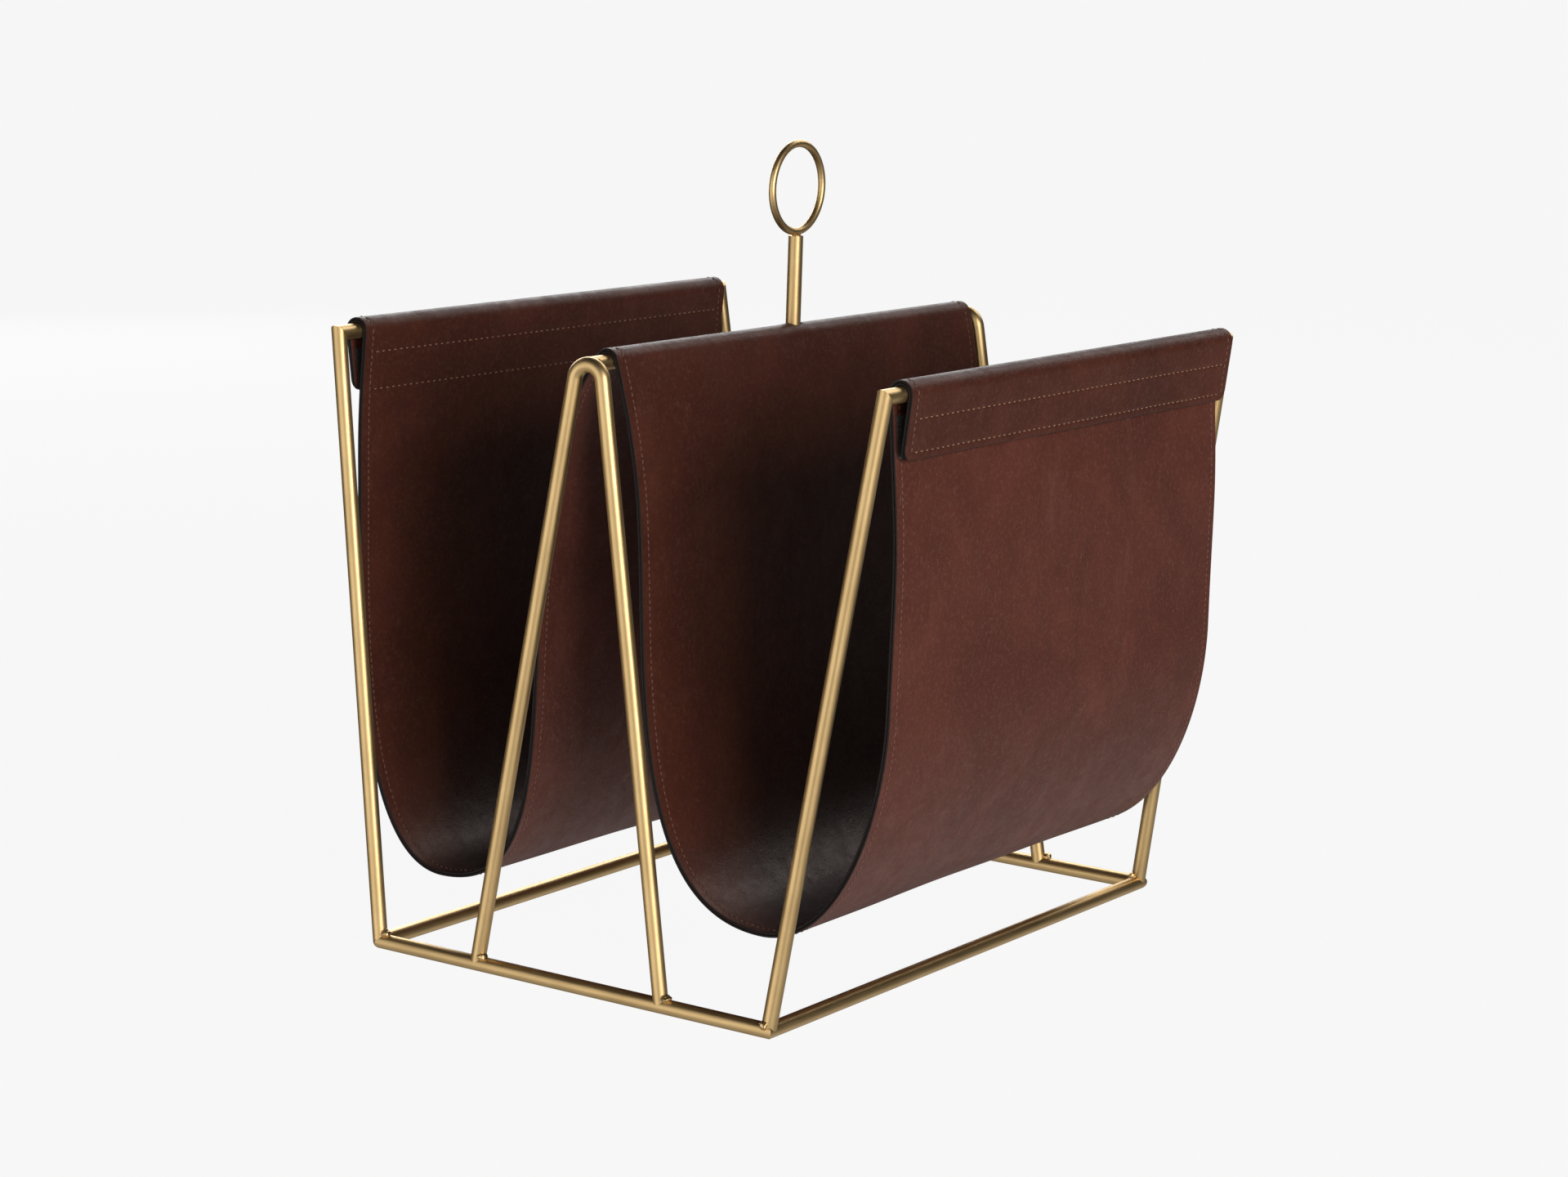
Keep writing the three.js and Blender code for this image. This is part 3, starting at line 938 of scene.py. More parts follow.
    def build_handle(self) -> None:
        """Makes the stem and the ring."""
        low, high = corners("handle_stem")
        foot = np.array((0.0, 0.0, self.axis("top_bar_centre")[2]))
        top = np.array((0.0, 0.0, high[2]))
        stem = Tube((high[0] - low[0]) / 2).stretch(foot, top, (0.0, 0.3, 0.6, 0.97, 1.0))
        self.keep(stem.piece("handle_stem_rod"), "handle_stem")
        low, high = corners("handle_ring")
        wire = (high[0] - low[0]) / 2
        radius = (high[2] - low[2]) / 2 - wire
        centre = (low + high) / 2
        ring = Tube(wire, sides=self.ring_sides)
        for i in range(self.ring_steps):
            angle = 2 * math.pi * i / self.ring_steps - math.pi / 2
            radial = np.array((0.0, math.cos(angle), math.sin(angle)))
            ring.station(centre + radial * radius, np.array((0.0, -math.sin(angle), math.cos(angle))))
        self.keep(ring.piece("handle_ring_wire", closed=True), "handle_ring")

    def bead(self, name: str, place: np.ndarray, size: Colour, seed: float) -> None:
        """Makes a weld bead: a flattened lump with a rough skin.

        Args:
            name: The piece's name.
            place: Its middle.
            size: Its half sizes.
            seed: Where its noise is read, so that no two are alike.
        """
        (lump, lump_scale), (grit, grit_scale) = self.bead_swell, self.bead_grit
        points = []
        for r in range(self.bead_rows + 1):
            polar = math.pi * r / self.bead_rows
            for c in range(self.bead_columns):
                turn = 2 * math.pi * c / self.bead_columns
                level = math.sin(polar)
                ball = Vector((level * math.cos(turn), level * math.sin(turn), math.cos(polar)))
                swell = 1.0 + lump * noise.noise(ball * lump_scale + Vector((seed, 0.0, 0.0)))
                swell += grit * noise.noise(ball * grit_scale + Vector((0.0, seed, 0.0)))
                points.append([place[k] + ball[k] * size[k] * swell for k in range(3)])
        faces = [face[::-1] for face in strip_faces(self.bead_rows + 1, self.bead_columns, True)]
        piece = make_piece(name, np.array(points), faces, [WeldFinish()], 80.0)
        self.clean(piece)
        self.keep(piece)

    def clean(self, piece: bpy.types.Object) -> None:
        """Merges the doubled points at a bead's poles.

        Args:
            piece: The bead.
        """
        shape = bmesh.new()
        shape.from_mesh(piece.data)
        bmesh.ops.remove_doubles(shape, verts=shape.verts, dist=1e-6)
        bmesh.ops.dissolve_degenerate(shape, edges=shape.edges, dist=1e-7)
        shape.to_mesh(piece.data)
        shape.free()

    def build_welds(self) -> None:
        """Makes the beads at the joints."""
        seed = 1.0
        for (side, end), offset in self.foot_beads.items():
            place = self.base_corner(side, end) + np.array(offset) * MM
            self.bead(f"weld_foot_{end.word}_{side.word}", place, self.foot_bead, seed)
            seed += 3.7
        for end in End:
            stations, apex = self.hairpin_stations(end)
            for side, (foot, _) in ((Side.LEFT, stations[0]), (Side.RIGHT, stations[-1])):
                place = foot + np.array((4.2, end.value * 1.4, 4.6)) * MM
                self.bead(f"weld_hairpin_{end.word}_{side.word}", place, self.hairpin_bead, seed)
                seed += 2.9
            place = apex + np.array((2.4, -end.value * 3.8, 1.2)) * MM
            self.bead(f"weld_ridge_{end.word}", place, self.ridge_bead, seed)
        stem_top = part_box("handle_stem")[1][2]
        self.bead("weld_ring", np.array((0.0, 0.6 * MM, stem_top)), self.ring_bead, seed)

    def build(self) -> None:
        """Makes the whole frame."""
        self.build_base()
        self.build_sides()
        self.build_centre()
        self.build_handle()
        self.build_welds()


# ---------------------------------------------------------------- sling line


@dataclass(frozen=True)
class Pocket:
    """One pocket's hanging curve, from its side bar through its belly and floor to the centre bar."""

    wall_lean: float
    belly_inset: float
    belly_drop: float
    upper_pull: float
    middle_pull: float
    lower_pull: float
    floor_inset: float
    floor_height: float
    floor_pull: float
    centre_lean: float
    centre_pull: float
    roundness: float
    flap_lean: float


POCKETS = {
    Side.LEFT: Pocket(4.1, 3.3, 101.0, 54.0, 38.0, 88.0, 63.5, 38.0, 49.0, 48.5, 124.0, 1.03, 7.77),
    Side.RIGHT: Pocket(4.9, 0.3, 156.5, 86.0, 87.0, 58.0, 70.9, 42.9, 43.0, 72.8, 95.0, 1.11, 6.98),
}


def bezier(points: list[np.ndarray], count: int) -> np.ndarray:
    """Points of a cubic curve.

    Args:
        points: Its four control points.
        count: How many points to give.

    Returns:
        The points, one row each.
    """
    t = np.linspace(0.0, 1.0, count)[:, None]
    a, b, c, d = points
    return (1 - t) ** 3 * a + 3 * (1 - t) ** 2 * t * b + 3 * (1 - t) * t**2 * c + t**3 * d


@dataclass
class SlingLine:
    """The middle surface of the whole leather strip, from the left flap's edge to the right one's.

    Places along it are lengths in metres from the left flap's edge.
    """

    side_x: float
    bar_height: float
    wrap: float = 5.75 * MM
    flap_drop: float = 31.5 * MM
    fine: int = 500
    ridge_steps: int = 120
    wrap_steps: int = 160
    flap_steps: int = 60

    def __post_init__(self) -> None:
        """Draws the line and measures it."""
        left, left_marks = self.half(POCKETS[Side.LEFT])
        right, right_marks = self.half(POCKETS[Side.RIGHT])
        start = math.radians(90 + POCKETS[Side.LEFT].centre_lean)
        end = math.radians(90 - POCKETS[Side.RIGHT].centre_lean)
        over = self.arc(0.0, start, end, self.ridge_steps)
        mirrored = left[::-1] * np.array((-1.0, 1.0))
        points = np.vstack([mirrored, over[1:-1], right])
        steps = np.linalg.norm(np.diff(points, axis=0), axis=1)
        self.points = points
        self.lengths = np.concatenate([[0.0], np.cumsum(steps)])
        along = np.gradient(points, self.lengths, axis=0)
        along /= np.linalg.norm(along, axis=1)[:, None]
        self.normals = np.stack([-along[:, 1], along[:, 0]], axis=1)
        self.total = float(self.lengths[-1])
        first = len(mirrored)
        self.marks = {Side.LEFT: {}, Side.RIGHT: {}}
        for name, index in left_marks.items():
            self.marks[Side.LEFT][name] = float(self.lengths[first - 1 - index])
        for name, index in right_marks.items():
            self.marks[Side.RIGHT][name] = float(self.lengths[first + len(over) - 2 + index])
        self.ridge = float(self.lengths[first + len(over) // 2 - 1])

    def arc(self, x: float, start: float, end: float, count: int) -> np.ndarray:
        """Points around a bar's axis at the wrap radius.

        Args:
            x: The bar's place across the rack.
            start: Angle where they start.
            end: Angle where they end.
            count: How many points to give.

        Returns:
            The points as X and Z, one row each.
        """
        angles = np.linspace(start, end, count)
        across, up = self.wrap * np.cos(angles), self.wrap * np.sin(angles)
        return np.stack([x + across, self.bar_height + up], axis=1)

    def half(self, pocket: Pocket) -> tuple[np.ndarray, dict[str, int]]:
        """The line from the centre bar to a flap's edge, drawn for the right-hand side.

        Args:
            pocket: The pocket's curve.

        Returns:
            The points, and where among them the named places are.
        """
        lean = math.radians(pocket.wall_lean)
        wall = self.arc(self.side_x, math.pi + lean, math.pi + lean, 1)[0]
        belly = np.array((self.side_x - pocket.belly_inset * MM, self.bar_height - pocket.belly_drop * MM))
        floor = np.array((self.side_x - pocket.floor_inset * MM, pocket.floor_height * MM))
        angle = math.radians(90 - pocket.centre_lean)
        ridge = self.arc(0.0, angle, angle, 1)[0]
        pull = pocket.roundness * (floor[0] - ridge[0])
        leave = np.array((math.sin(angle), -math.cos(angle))) * pocket.centre_pull * MM
        drop = np.array((math.sin(lean), -math.cos(lean))) * pocket.upper_pull * MM
        inner = bezier([ridge, ridge + leave, floor - (pull, 0.0), floor], self.fine)
        out, below = (pocket.floor_pull * MM, 0.0), (0.0, pocket.lower_pull * MM)
        lower = bezier([floor, floor + out, belly - below, belly], self.fine)
        upper = bezier([belly, belly + (0.0, pocket.middle_pull * MM), wall + drop, wall], self.fine)
        flap_lean = math.radians(pocket.flap_lean)
        over = self.arc(self.side_x, math.pi + lean, -flap_lean, self.wrap_steps)
        edge = over[-1] - self.flap_drop * np.array((math.sin(flap_lean), math.cos(flap_lean)))
        flap = np.linspace(over[-1], edge, self.flap_steps)
        points = np.vstack([inner, lower[1:], upper[1:], over[1:], flap[1:]])
        floor_at, belly_at = len(inner) - 1, len(inner) + len(lower) - 2
        wall_at = belly_at + len(upper) - 1
        marks = {"ridge": 0, "floor": floor_at, "belly": belly_at, "wall": wall_at,
                 "outer": wall_at + len(over) - 1, "edge": len(points) - 1}
        return points, marks

    def at(self, lengths: np.ndarray) -> tuple[np.ndarray, np.ndarray]:
        """The line at some lengths.

        Args:
            lengths: Places along it.

        Returns:
            Points and unit normals, as X and Z; the normals point into the pockets and out of the flaps.
        """
        points = np.stack([np.interp(lengths, self.lengths, self.points[:, k]) for k in range(2)], axis=1)
        normals = np.stack([np.interp(lengths, self.lengths, self.normals[:, k]) for k in range(2)], axis=1)
        return points, normals / np.linalg.norm(normals, axis=1)[:, None]


# ---------------------------------------------------------------- leather


@dataclass(frozen=True)
class Wave:
    """A slow wave in the leather: how high it is, and how it runs along and across the strip."""

    height: float
    along: float
    across: float
    shift: float = 0.0

    def at(self, s: np.ndarray, y: np.ndarray, turn: int = 1) -> np.ndarray:
        """The wave's height at some places.

        Args:
            s: Places along the strip.
            y: Places across it.
            turn: Sign of the shift.

        Returns:
            The heights.
        """
        return self.height * np.sin(self.along * s + self.across * y + self.shift * turn)


@dataclass(frozen=True)
class Fold:
    """A short slanting crease in the right pocket's outer wall, under the flap and near the back."""

    drop: float = 37.0 * MM
    place: float = 84.0 * MM
    slant: float = 0.42
    depth: float = 0.9 * MM
    width: float = 1.8 * MM
    length: float = 17 * MM

    def at(self, down: np.ndarray, y: np.ndarray) -> np.ndarray:
        """How far the crease moves the surface.

        Args:
            down: Places down the wall from the bar.
            y: Places across the strip.

        Returns:
            The distances off the middle line.
        """
        off = (down - self.drop) + (y - self.place) * self.slant
        span = np.exp(-(((y - self.place) / self.length) ** 2))
        return -self.depth * np.exp(-((off / self.width) ** 2)) * span


WALL_WAVES = (Wave(0.45, 19.0, 8.0, 0.7), Wave(0.35, 11.0, -21.0, 2.1), Wave(0.3, 33.0, 14.0, 4.0),
              Wave(0.18, 9.0, 52.0))
FLAP_WAVE = Wave(0.22 * MM, 0.0, 41.0, 1.3)
FLAP_RIPPLE = Wave(0.14 * MM, 0.0, 97.0, 2.0)
# where vertices lie, in millimetres: from a side edge, from a flap's edge and from a row of stitching
EDGE_COLUMNS = (0.0, 0.05, 0.16, 0.34, 0.62, 1.3, 2.8, 4.2, 4.8, 5.15, 5.5, 5.85, 6.2, 6.8, 8.5, 12.0)
END_STATIONS = (0.0, 0.05, 0.16, 0.34, 0.62, 1.2, 2.2, 3.6, 5.2, 7.0, 9.0)
ROW_STATIONS = (-1.2, -0.7, -0.35, 0, 0.35, 0.7, 1.2)
# rings of a stitch: place as a share of its length, lift in millimetres, thickness as a share of its width
STITCH_PROFILE = ((-0.5, -0.35, 0.35), (-0.43, 0.02, 0.8), (-0.2, 0.2, 1.0),
                  (0.2, 0.2, 1.0), (0.43, 0.02, 0.8), (0.5, -0.35, 0.35))
STITCH_SIDES = 6
ROW_STITCH = 0.34


@dataclass
class Strip:
    """The leather strip: its line, its width, its stitching and how its surface lies."""

    line: SlingLine
    front: float
    back: float
    leaf: float = 1.3 * MM
    glue: float = 0.14 * MM
    seam_margin: float = 5.5 * MM
    edge_round: float = 0.62 * MM
    groove: float = 0.22 * MM
    groove_width: float = 0.7 * MM
    pitch: float = 3.4 * MM
    row_pitch: float = 4.8 * MM
    stitch_width: float = 0.36 * MM
    forward: tuple[float, float] = (7.0 * MM, 3.2 * MM)
    forward_reach: float = 60.0 * MM
    flap_corner: float = 6.0 * MM
    ripple: float = 0.75 * MM
    free_reach: float = 70 * MM
    ridge_reach: float = 80 * MM
    flap_reach: float = 30 * MM
    pucker_height: float = 0.55 * MM
    pucker_radius: float = 4.2 * MM
    pucker_width: float = 3.2 * MM
    panel_rows: tuple[float, float] = (10.8, 30.8)
    flap_rows: tuple[float, float] = (11.0, 27.6)
    row_inset: float = 2.2 * MM
    side_columns: tuple[float, float, float] = (17 * MM, 14 * MM, 5 * MM)
    coarse: float = 3.2 * MM
    ridge_span: tuple[float, float, float] = (-14, 14.1, 0.8)
    wrap_margin: float = 3 * MM
    wrap_step: float = 0.7 * MM
    closest: float = 0.045 * MM
    dressed: float = 0.36 * MM
    edge_share: float = 0.42
    fold: Fold = Fold()
    rows: dict = field(default_factory=dict)

    def __post_init__(self) -> None:
        """Places the rows of stitching that run across the strip."""
        for side in Side:
            marks = self.line.marks[side]
            out = side.value
            self.rows[side] = {}
            for level, panel, flap in zip(("upper", "lower"), self.panel_rows, self.flap_rows):
                self.rows[side][f"panel_{level}"] = marks["wall"] - out * panel * MM
                self.rows[side][f"flap_{level}"] = marks["outer"] + out * flap * MM

    def lie(self, s: np.ndarray, y: np.ndarray) -> np.ndarray:
        """How far the surface stands off its middle line, towards the normal.

        Args:
            s: Places along the strip.
            y: Places across it.

        Returns:
            The distances.
        """
        free = np.ones_like(s)
        for side in Side:
            marks = self.line.marks[side]
            free *= np.clip(np.abs(s - marks["wall"]) / self.free_reach, 0.0, 1.0) ** 1.5
            free *= np.where((s - marks["wall"]) * side.value > 0, 0.0, 1.0)
        free *= np.clip(np.abs(s - self.line.ridge) / self.ridge_reach, 0.0, 1.0) ** 1.5
        bulge = self.ripple * sum(wave.at(s, y) for wave in WALL_WAVES) * free
        crease = self.fold.at(self.line.marks[Side.RIGHT]["wall"] - s, y)
        return bulge + self.flap_lie(s, y) + crease + self.pucker(s, y)

    def flap_lie(self, s: np.ndarray, y: np.ndarray) -> np.ndarray:
        """The flaps' own slight waves between their rows of stitching.

        Args:
            s: Places along the strip.
            y: Places across it.

        Returns:
            The distances off the middle line.
        """
        result = np.zeros_like(s)
        for side in Side:
            outer = self.line.marks[side]["outer"]
            down = np.clip((s - outer) * side.value / self.flap_reach, 0.0, 1.0)
            result += down * FLAP_WAVE.at(s, y, side.value)
            result += down * FLAP_RIPPLE.at(s, y)
        return result

    def pucker(self, s: np.ndarray, y: np.ndarray) -> np.ndarray:
        """How far the leather rises around the stem, at places along and across the strip."""
        off = np.hypot(s - self.line.ridge, y) - self.pucker_radius
        return self.pucker_height * np.exp(-((off / self.pucker_width) ** 2))

    def dent(self, s: np.ndarray, y: np.ndarray) -> np.ndarray:
        """How far the stitching pulls both faces in.

        Args:
            s: Places along the strip.
            y: Places across it.

        Returns:
            The depths.
        """
        edge = np.minimum(y - self.front, self.back - y)
        depth = np.exp(-(((edge - self.seam_margin) / self.groove_width) ** 2))
        for side in Side:
            for place in self.rows[side].values():
                inside = edge > self.seam_margin
                depth = np.maximum(depth, np.exp(-(((s - place) / self.groove_width) ** 2)) * inside)
        return self.groove * depth

    def taper(self, s: np.ndarray) -> np.ndarray:
        """Share of the strip's width left by the rounded corners of the flaps.

        Args:
            s: Places along the strip.

        Returns:
            The shares.
        """
        half = (self.back - self.front) / 2
        share = np.ones_like(s)
        for side in Side:
            left = np.clip(np.abs(self.line.marks[side]["edge"] - s), 0.0, self.flap_corner)
            bite = self.flap_corner - np.sqrt(self.flap_corner**2 - (self.flap_corner - left) ** 2)
            share = np.minimum(share, 1.0 - bite / half)
        return share

    def surface(self, s: np.ndarray, y: np.ndarray, offset: np.ndarray) -> np.ndarray:
        """Points of the strip.

        Args:
            s: Places along it.
            y: Places across it.
            offset: Distances from its middle surface.

        Returns:
            The points in space, one row each.
        """
        points, normals = self.line.at(s)
        stand = offset + self.lie(s, y)
        y = self.spread(s, y)
        points = points + normals * stand[:, None]
        return np.stack([points[:, 0], y, points[:, 1]], axis=1)

    def spread(self, s: np.ndarray, y: np.ndarray) -> np.ndarray:
        """The strip is a little wider over the centre bar than at its ends.

        Args:
            s: Places along it.
            y: Places across it on a strip of even width.

        Returns:
            The places across it in space.
        """
        near = np.exp(-(((s - self.line.ridge) / self.forward_reach) ** 2))
        share = (y - self.front) / (self.back - self.front)
        to_front, to_back = self.forward
        return y + near * (share**3 * to_back - (1.0 - share) ** 3 * to_front)

    def columns(self) -> np.ndarray:
        """Places across the strip where the leather has vertices, closer at the edges and seams.

        Returns:
            The places.
        """
        near = np.array(EDGE_COLUMNS) * MM
        from_front, from_back, step = self.side_columns
        inner = np.arange(self.front + from_front, self.back - from_back, step)
        return np.concatenate([self.front + near, inner, (self.back - near)[::-1]])

    def stations(self, start: float, end: float) -> np.ndarray:
        """Places along the strip where the leather has vertices, closer in bends and at rows of stitching.

        Args:
            start: Where the leaf starts.
            end: Where it ends.

        Returns:
            The places.
        """
        places = set(np.round(np.linspace(start, end, int((end - start) / self.coarse) + 2), 6))
        close = [self.line.ridge + d * MM for d in np.arange(*self.ridge_span)]
        for side in Side:
            marks = self.line.marks[side]
            low, high = sorted((marks["wall"], marks["outer"]))
            close += list(np.arange(low - self.wrap_margin, high + self.wrap_margin, self.wrap_step))
            close += [row + d * MM for row in self.rows[side].values() for d in ROW_STATIONS]
            close += [marks["edge"] - side.value * d * MM for d in END_STATIONS]
        places |= {round(float(p), 6) for p in close if start < p < end}
        ordered = np.array(sorted(places))
        keep = np.concatenate([[True], np.diff(ordered) > self.closest])
        keep[-1] = True
        return ordered[keep]

    def rounding(self, distance: np.ndarray) -> np.ndarray:
        """Share of a leaf's thickness left at a distance from a cut edge."""
        inward = np.clip(distance / self.edge_round, 0.0, 1.0)
        return self.edge_share + (1.0 - self.edge_share) * np.sqrt(1.0 - (1.0 - inward) ** 2)

    def leaf_piece(self, name: str, leaf: Leaf, start: float, end: float,
                   finish: LeatherFinish) -> bpy.types.Object:
        """Makes one leaf of a stretch of the strip.

        Args:
            name: The piece's name.
            leaf: Which leaf.
            start: Where the stretch starts.
            end: Where it ends.
            finish: Its leather.

        Returns:
            The leaf, a closed mesh with dressed edges.
        """
        stations, columns = self.stations(start, end), self.columns()
        rows, count = len(stations), len(columns)
        s = np.repeat(stations, count)
        flat = np.tile(columns, rows)
        middle_y = (self.front + self.back) / 2
        y = middle_y + (flat - middle_y) * self.taper(s)
        cut = np.minimum(flat - self.front, self.back - flat)
        ends = np.minimum(s, self.line.total - s)
        share = np.minimum(self.rounding(cut), self.rounding(ends))
        middle = leaf.value * (self.glue / 2 + self.leaf / 2)
        half = self.leaf / 2 * share
        dent = self.dent(s, flat)
        outer = middle + leaf.value * (half - dent)
        inner = middle - leaf.value * half
        high, low = (outer, inner) if leaf is Leaf.FACE else (inner, outer)
        top, bottom = self.surface(s, y, high), self.surface(s, y, low)
        points = np.vstack([top, bottom])
        piece = make_piece(name, points, slab_faces(rows, count), [finish, EdgeFinish()], 60.0)
        black = np.tile(np.minimum(cut, ends) < self.dressed, 2)
        kinds = [EDGE_SLOT if black[list(polygon.vertices)].all() else 0 for polygon in piece.data.polygons]
        piece.data.polygons.foreach_set("material_index", kinds)
        return piece

    def stitches(self, name: str, s: np.ndarray, y: np.ndarray, leaf: Leaf | None, finish: FibreFinish,
                 pitch: float, share: float = 0.62) -> bpy.types.Object:
        """Makes a run of stitches, each a short thread that dips into the leather at both ends.

        Args:
            name: The piece's name.
            s: Places along the strip of the run's points.
            y: Places across it of the run's points.
            leaf: The leaf that the run shows on, or None for both.
            finish: The thread.
            pitch: Length from one stitch to the next.
            share: Length of a stitch as a share of the pitch.

        Returns:
            The stitches.
        """
        run = np.concatenate([[0.0], np.cumsum(np.hypot(np.diff(s), np.diff(y)))])
        number = max(1, int(run[-1] / pitch))
        middles = (np.arange(number) + 0.5) * run[-1] / number
        points, faces = [], []
        length, sides = share * pitch, STITCH_SIDES
        quads = strip_faces(len(STITCH_PROFILE), sides, True)
        for face in [leaf] if leaf else list(Leaf):
            surface = face.value * (self.glue / 2 + self.leaf - self.groove)
            for middle in middles:
                rings = []
                heading = None
                for step, lift, thick in STITCH_PROFILE:
                    at = middle + step * length
                    here_s, here_y = np.interp(at, run, s), np.interp(at, run, y)
                    if heading is None:
                        ahead = middle + 0.5 * length
                        ds, dy = np.interp(ahead, run, s) - here_s, np.interp(ahead, run, y) - here_y
                        size = math.hypot(ds, dy) or 1.0
                        heading = (ds / size, dy / size)
                    side_s, side_y = -heading[1], heading[0]
                    for k in range(sides):
                        angle = 2 * math.pi * k / sides * face.value
                        out = self.stitch_width * thick * math.cos(angle)
                        rise = (self.stitch_width * thick * math.sin(angle) + lift * MM) * face.value
                        rings.append((here_s + side_s * out, here_y + side_y * out, surface + rise))
                base = len(points)
                points += rings
                faces += [tuple(base + v for v in quad) for quad in quads]
                faces.append(tuple(base + v for v in reversed(range(sides))))
                faces.append(tuple(base + len(rings) - sides + v for v in range(sides)))
        data = np.array(points)
        return make_piece(name, self.surface(*data.T), faces, [finish], 75.0)

    def edge_seam(self, name: str, end: End, start: float, stop: float, steps: int,
                  leaf: Leaf | None) -> bpy.types.Object:
        """Makes the seam along a side edge of the strip.

        Args:
            name: The piece's name.
            end: Which edge.
            start: Where it starts along the strip.
            stop: Where it stops.
            steps: Number of points that its run is drawn with.
            leaf: The leaf that it shows on, or None for both.

        Returns:
            The stitches.
        """
        s = np.linspace(start, stop, steps)
        edge = self.front if end is End.FRONT else self.back
        y = np.full_like(s, edge - end.value * self.seam_margin)
        return self.stitches(name, s, y, leaf, SEAM_THREAD, self.pitch)

    def row_seam(self, name: str, side: Side, row: str, leaf: Leaf | None) -> bpy.types.Object:
        """Makes a row of stitching across the strip.

        Args:
            name: The piece's name.
            side: The side of the rack.
            row: Which of that side's rows.
            leaf: The leaf that it shows on, or None for both.

        Returns:
            The stitches.
        """
        inner = self.seam_margin + self.row_inset
        y = np.linspace(self.front + inner, self.back - inner, 200)
        s = np.full_like(y, self.rows[side][row])
        return self.stitches(name, s, y, leaf, ROW_THREAD, self.row_pitch, ROW_STITCH)


@dataclass
class Sling:
    """The part of the strip that stays on the frame: both pockets, with their seams and loop strips."""

    strip: Strip
    panel_split: float = 5.0 * MM
    stem_clearance: float = 0.35 * MM
    loop_overlap: float = 0.4 * MM

    def ends(self) -> tuple[float, float]:
        """Where the sling gives way to the flaps, a little down the pockets' walls."""
        left, right = (self.strip.line.marks[side]["wall"] for side in Side)
        return left + self.panel_split, right - self.panel_split

    def build_leaves(self) -> None:
        """Makes the two leaves."""
        start, end = self.ends()
        bars = ["top_rod_left", "top_rod_centre", "top_rod_right"]
        under = ["sling_under_leaf"]
        for leaf, finish, rests in ((Leaf.UNDER, UNDER_SHADE, bars), (Leaf.FACE, FACE_LEATHER_WITH_PAINTED_SHADE, under)):
            piece = self.strip.leaf_piece(f"sling_{leaf.word}_leaf", leaf, start, end, finish)
            self.pierce(piece)
            settle(piece, "frame", f"leather_{leaf.word}", f"sling_{leaf.word}_leather")

    def pierce(self, piece: bpy.types.Object) -> None:
        """Cuts the stem's hole.

        Args:
            piece: A leaf of the sling.
        """
        low, high = corners("handle_stem")
        radius = (high[0] - low[0]) / 2 + self.stem_clearance
        cutter = Tube(radius, sides=48).stretch(UP * self.strip.line.bar_height, UP * high[2], (0.0, 1.0))
        punch = cutter.piece("stem_punch")
        change = piece.modifiers.new("stem_hole", "BOOLEAN")
        change.operation = "DIFFERENCE"
        change.object = punch
        change.solver = "EXACT"
        view = bpy.context.evaluated_depsgraph_get()
        cut = bpy.data.meshes.new_from_object(piece.evaluated_get(view))
        piece.modifiers.clear()
        piece.data = cut
        bpy.data.objects.remove(punch)

    def build_seams(self) -> None:
        """Makes the edge seams and the rows on the panels."""
        for end in End:
            piece = self.strip.edge_seam(f"sling_edge_seam_{end.word}", end, *self.ends(), 400, None)
            settle(piece, "frame", "thread", f"sling_edge_thread_{end.word}")
        for side in Side:
            for level in ("upper", "lower"):
                name = f"{side.word}_panel_seam_{level}"
                piece = self.strip.row_seam(name, side, f"panel_{level}", None)
                settle(piece, "frame", "thread", f"{side.word}_panel_thread_{level}")

    def build_loop_strips(self) -> None:
        """Makes the loop strips on the outside of the panels."""
        for side in Side:
            rows = self.strip.rows[side]
            low, high = sorted((rows["panel_upper"], rows["panel_lower"]))
            start, end = low - self.loop_overlap, high + self.loop_overlap
            band = PileStrip(self.strip, start, end, seed=21.0 + side.value)
            settle(band.piece(f"{side.word}_loop_pile"), "frame", "hook_and_loop", f"{side.word}_loop_strip")

    def build(self) -> None:
        """Makes the whole sling."""
        self.build_leaves()
        self.build_seams()
        self.build_loop_strips()


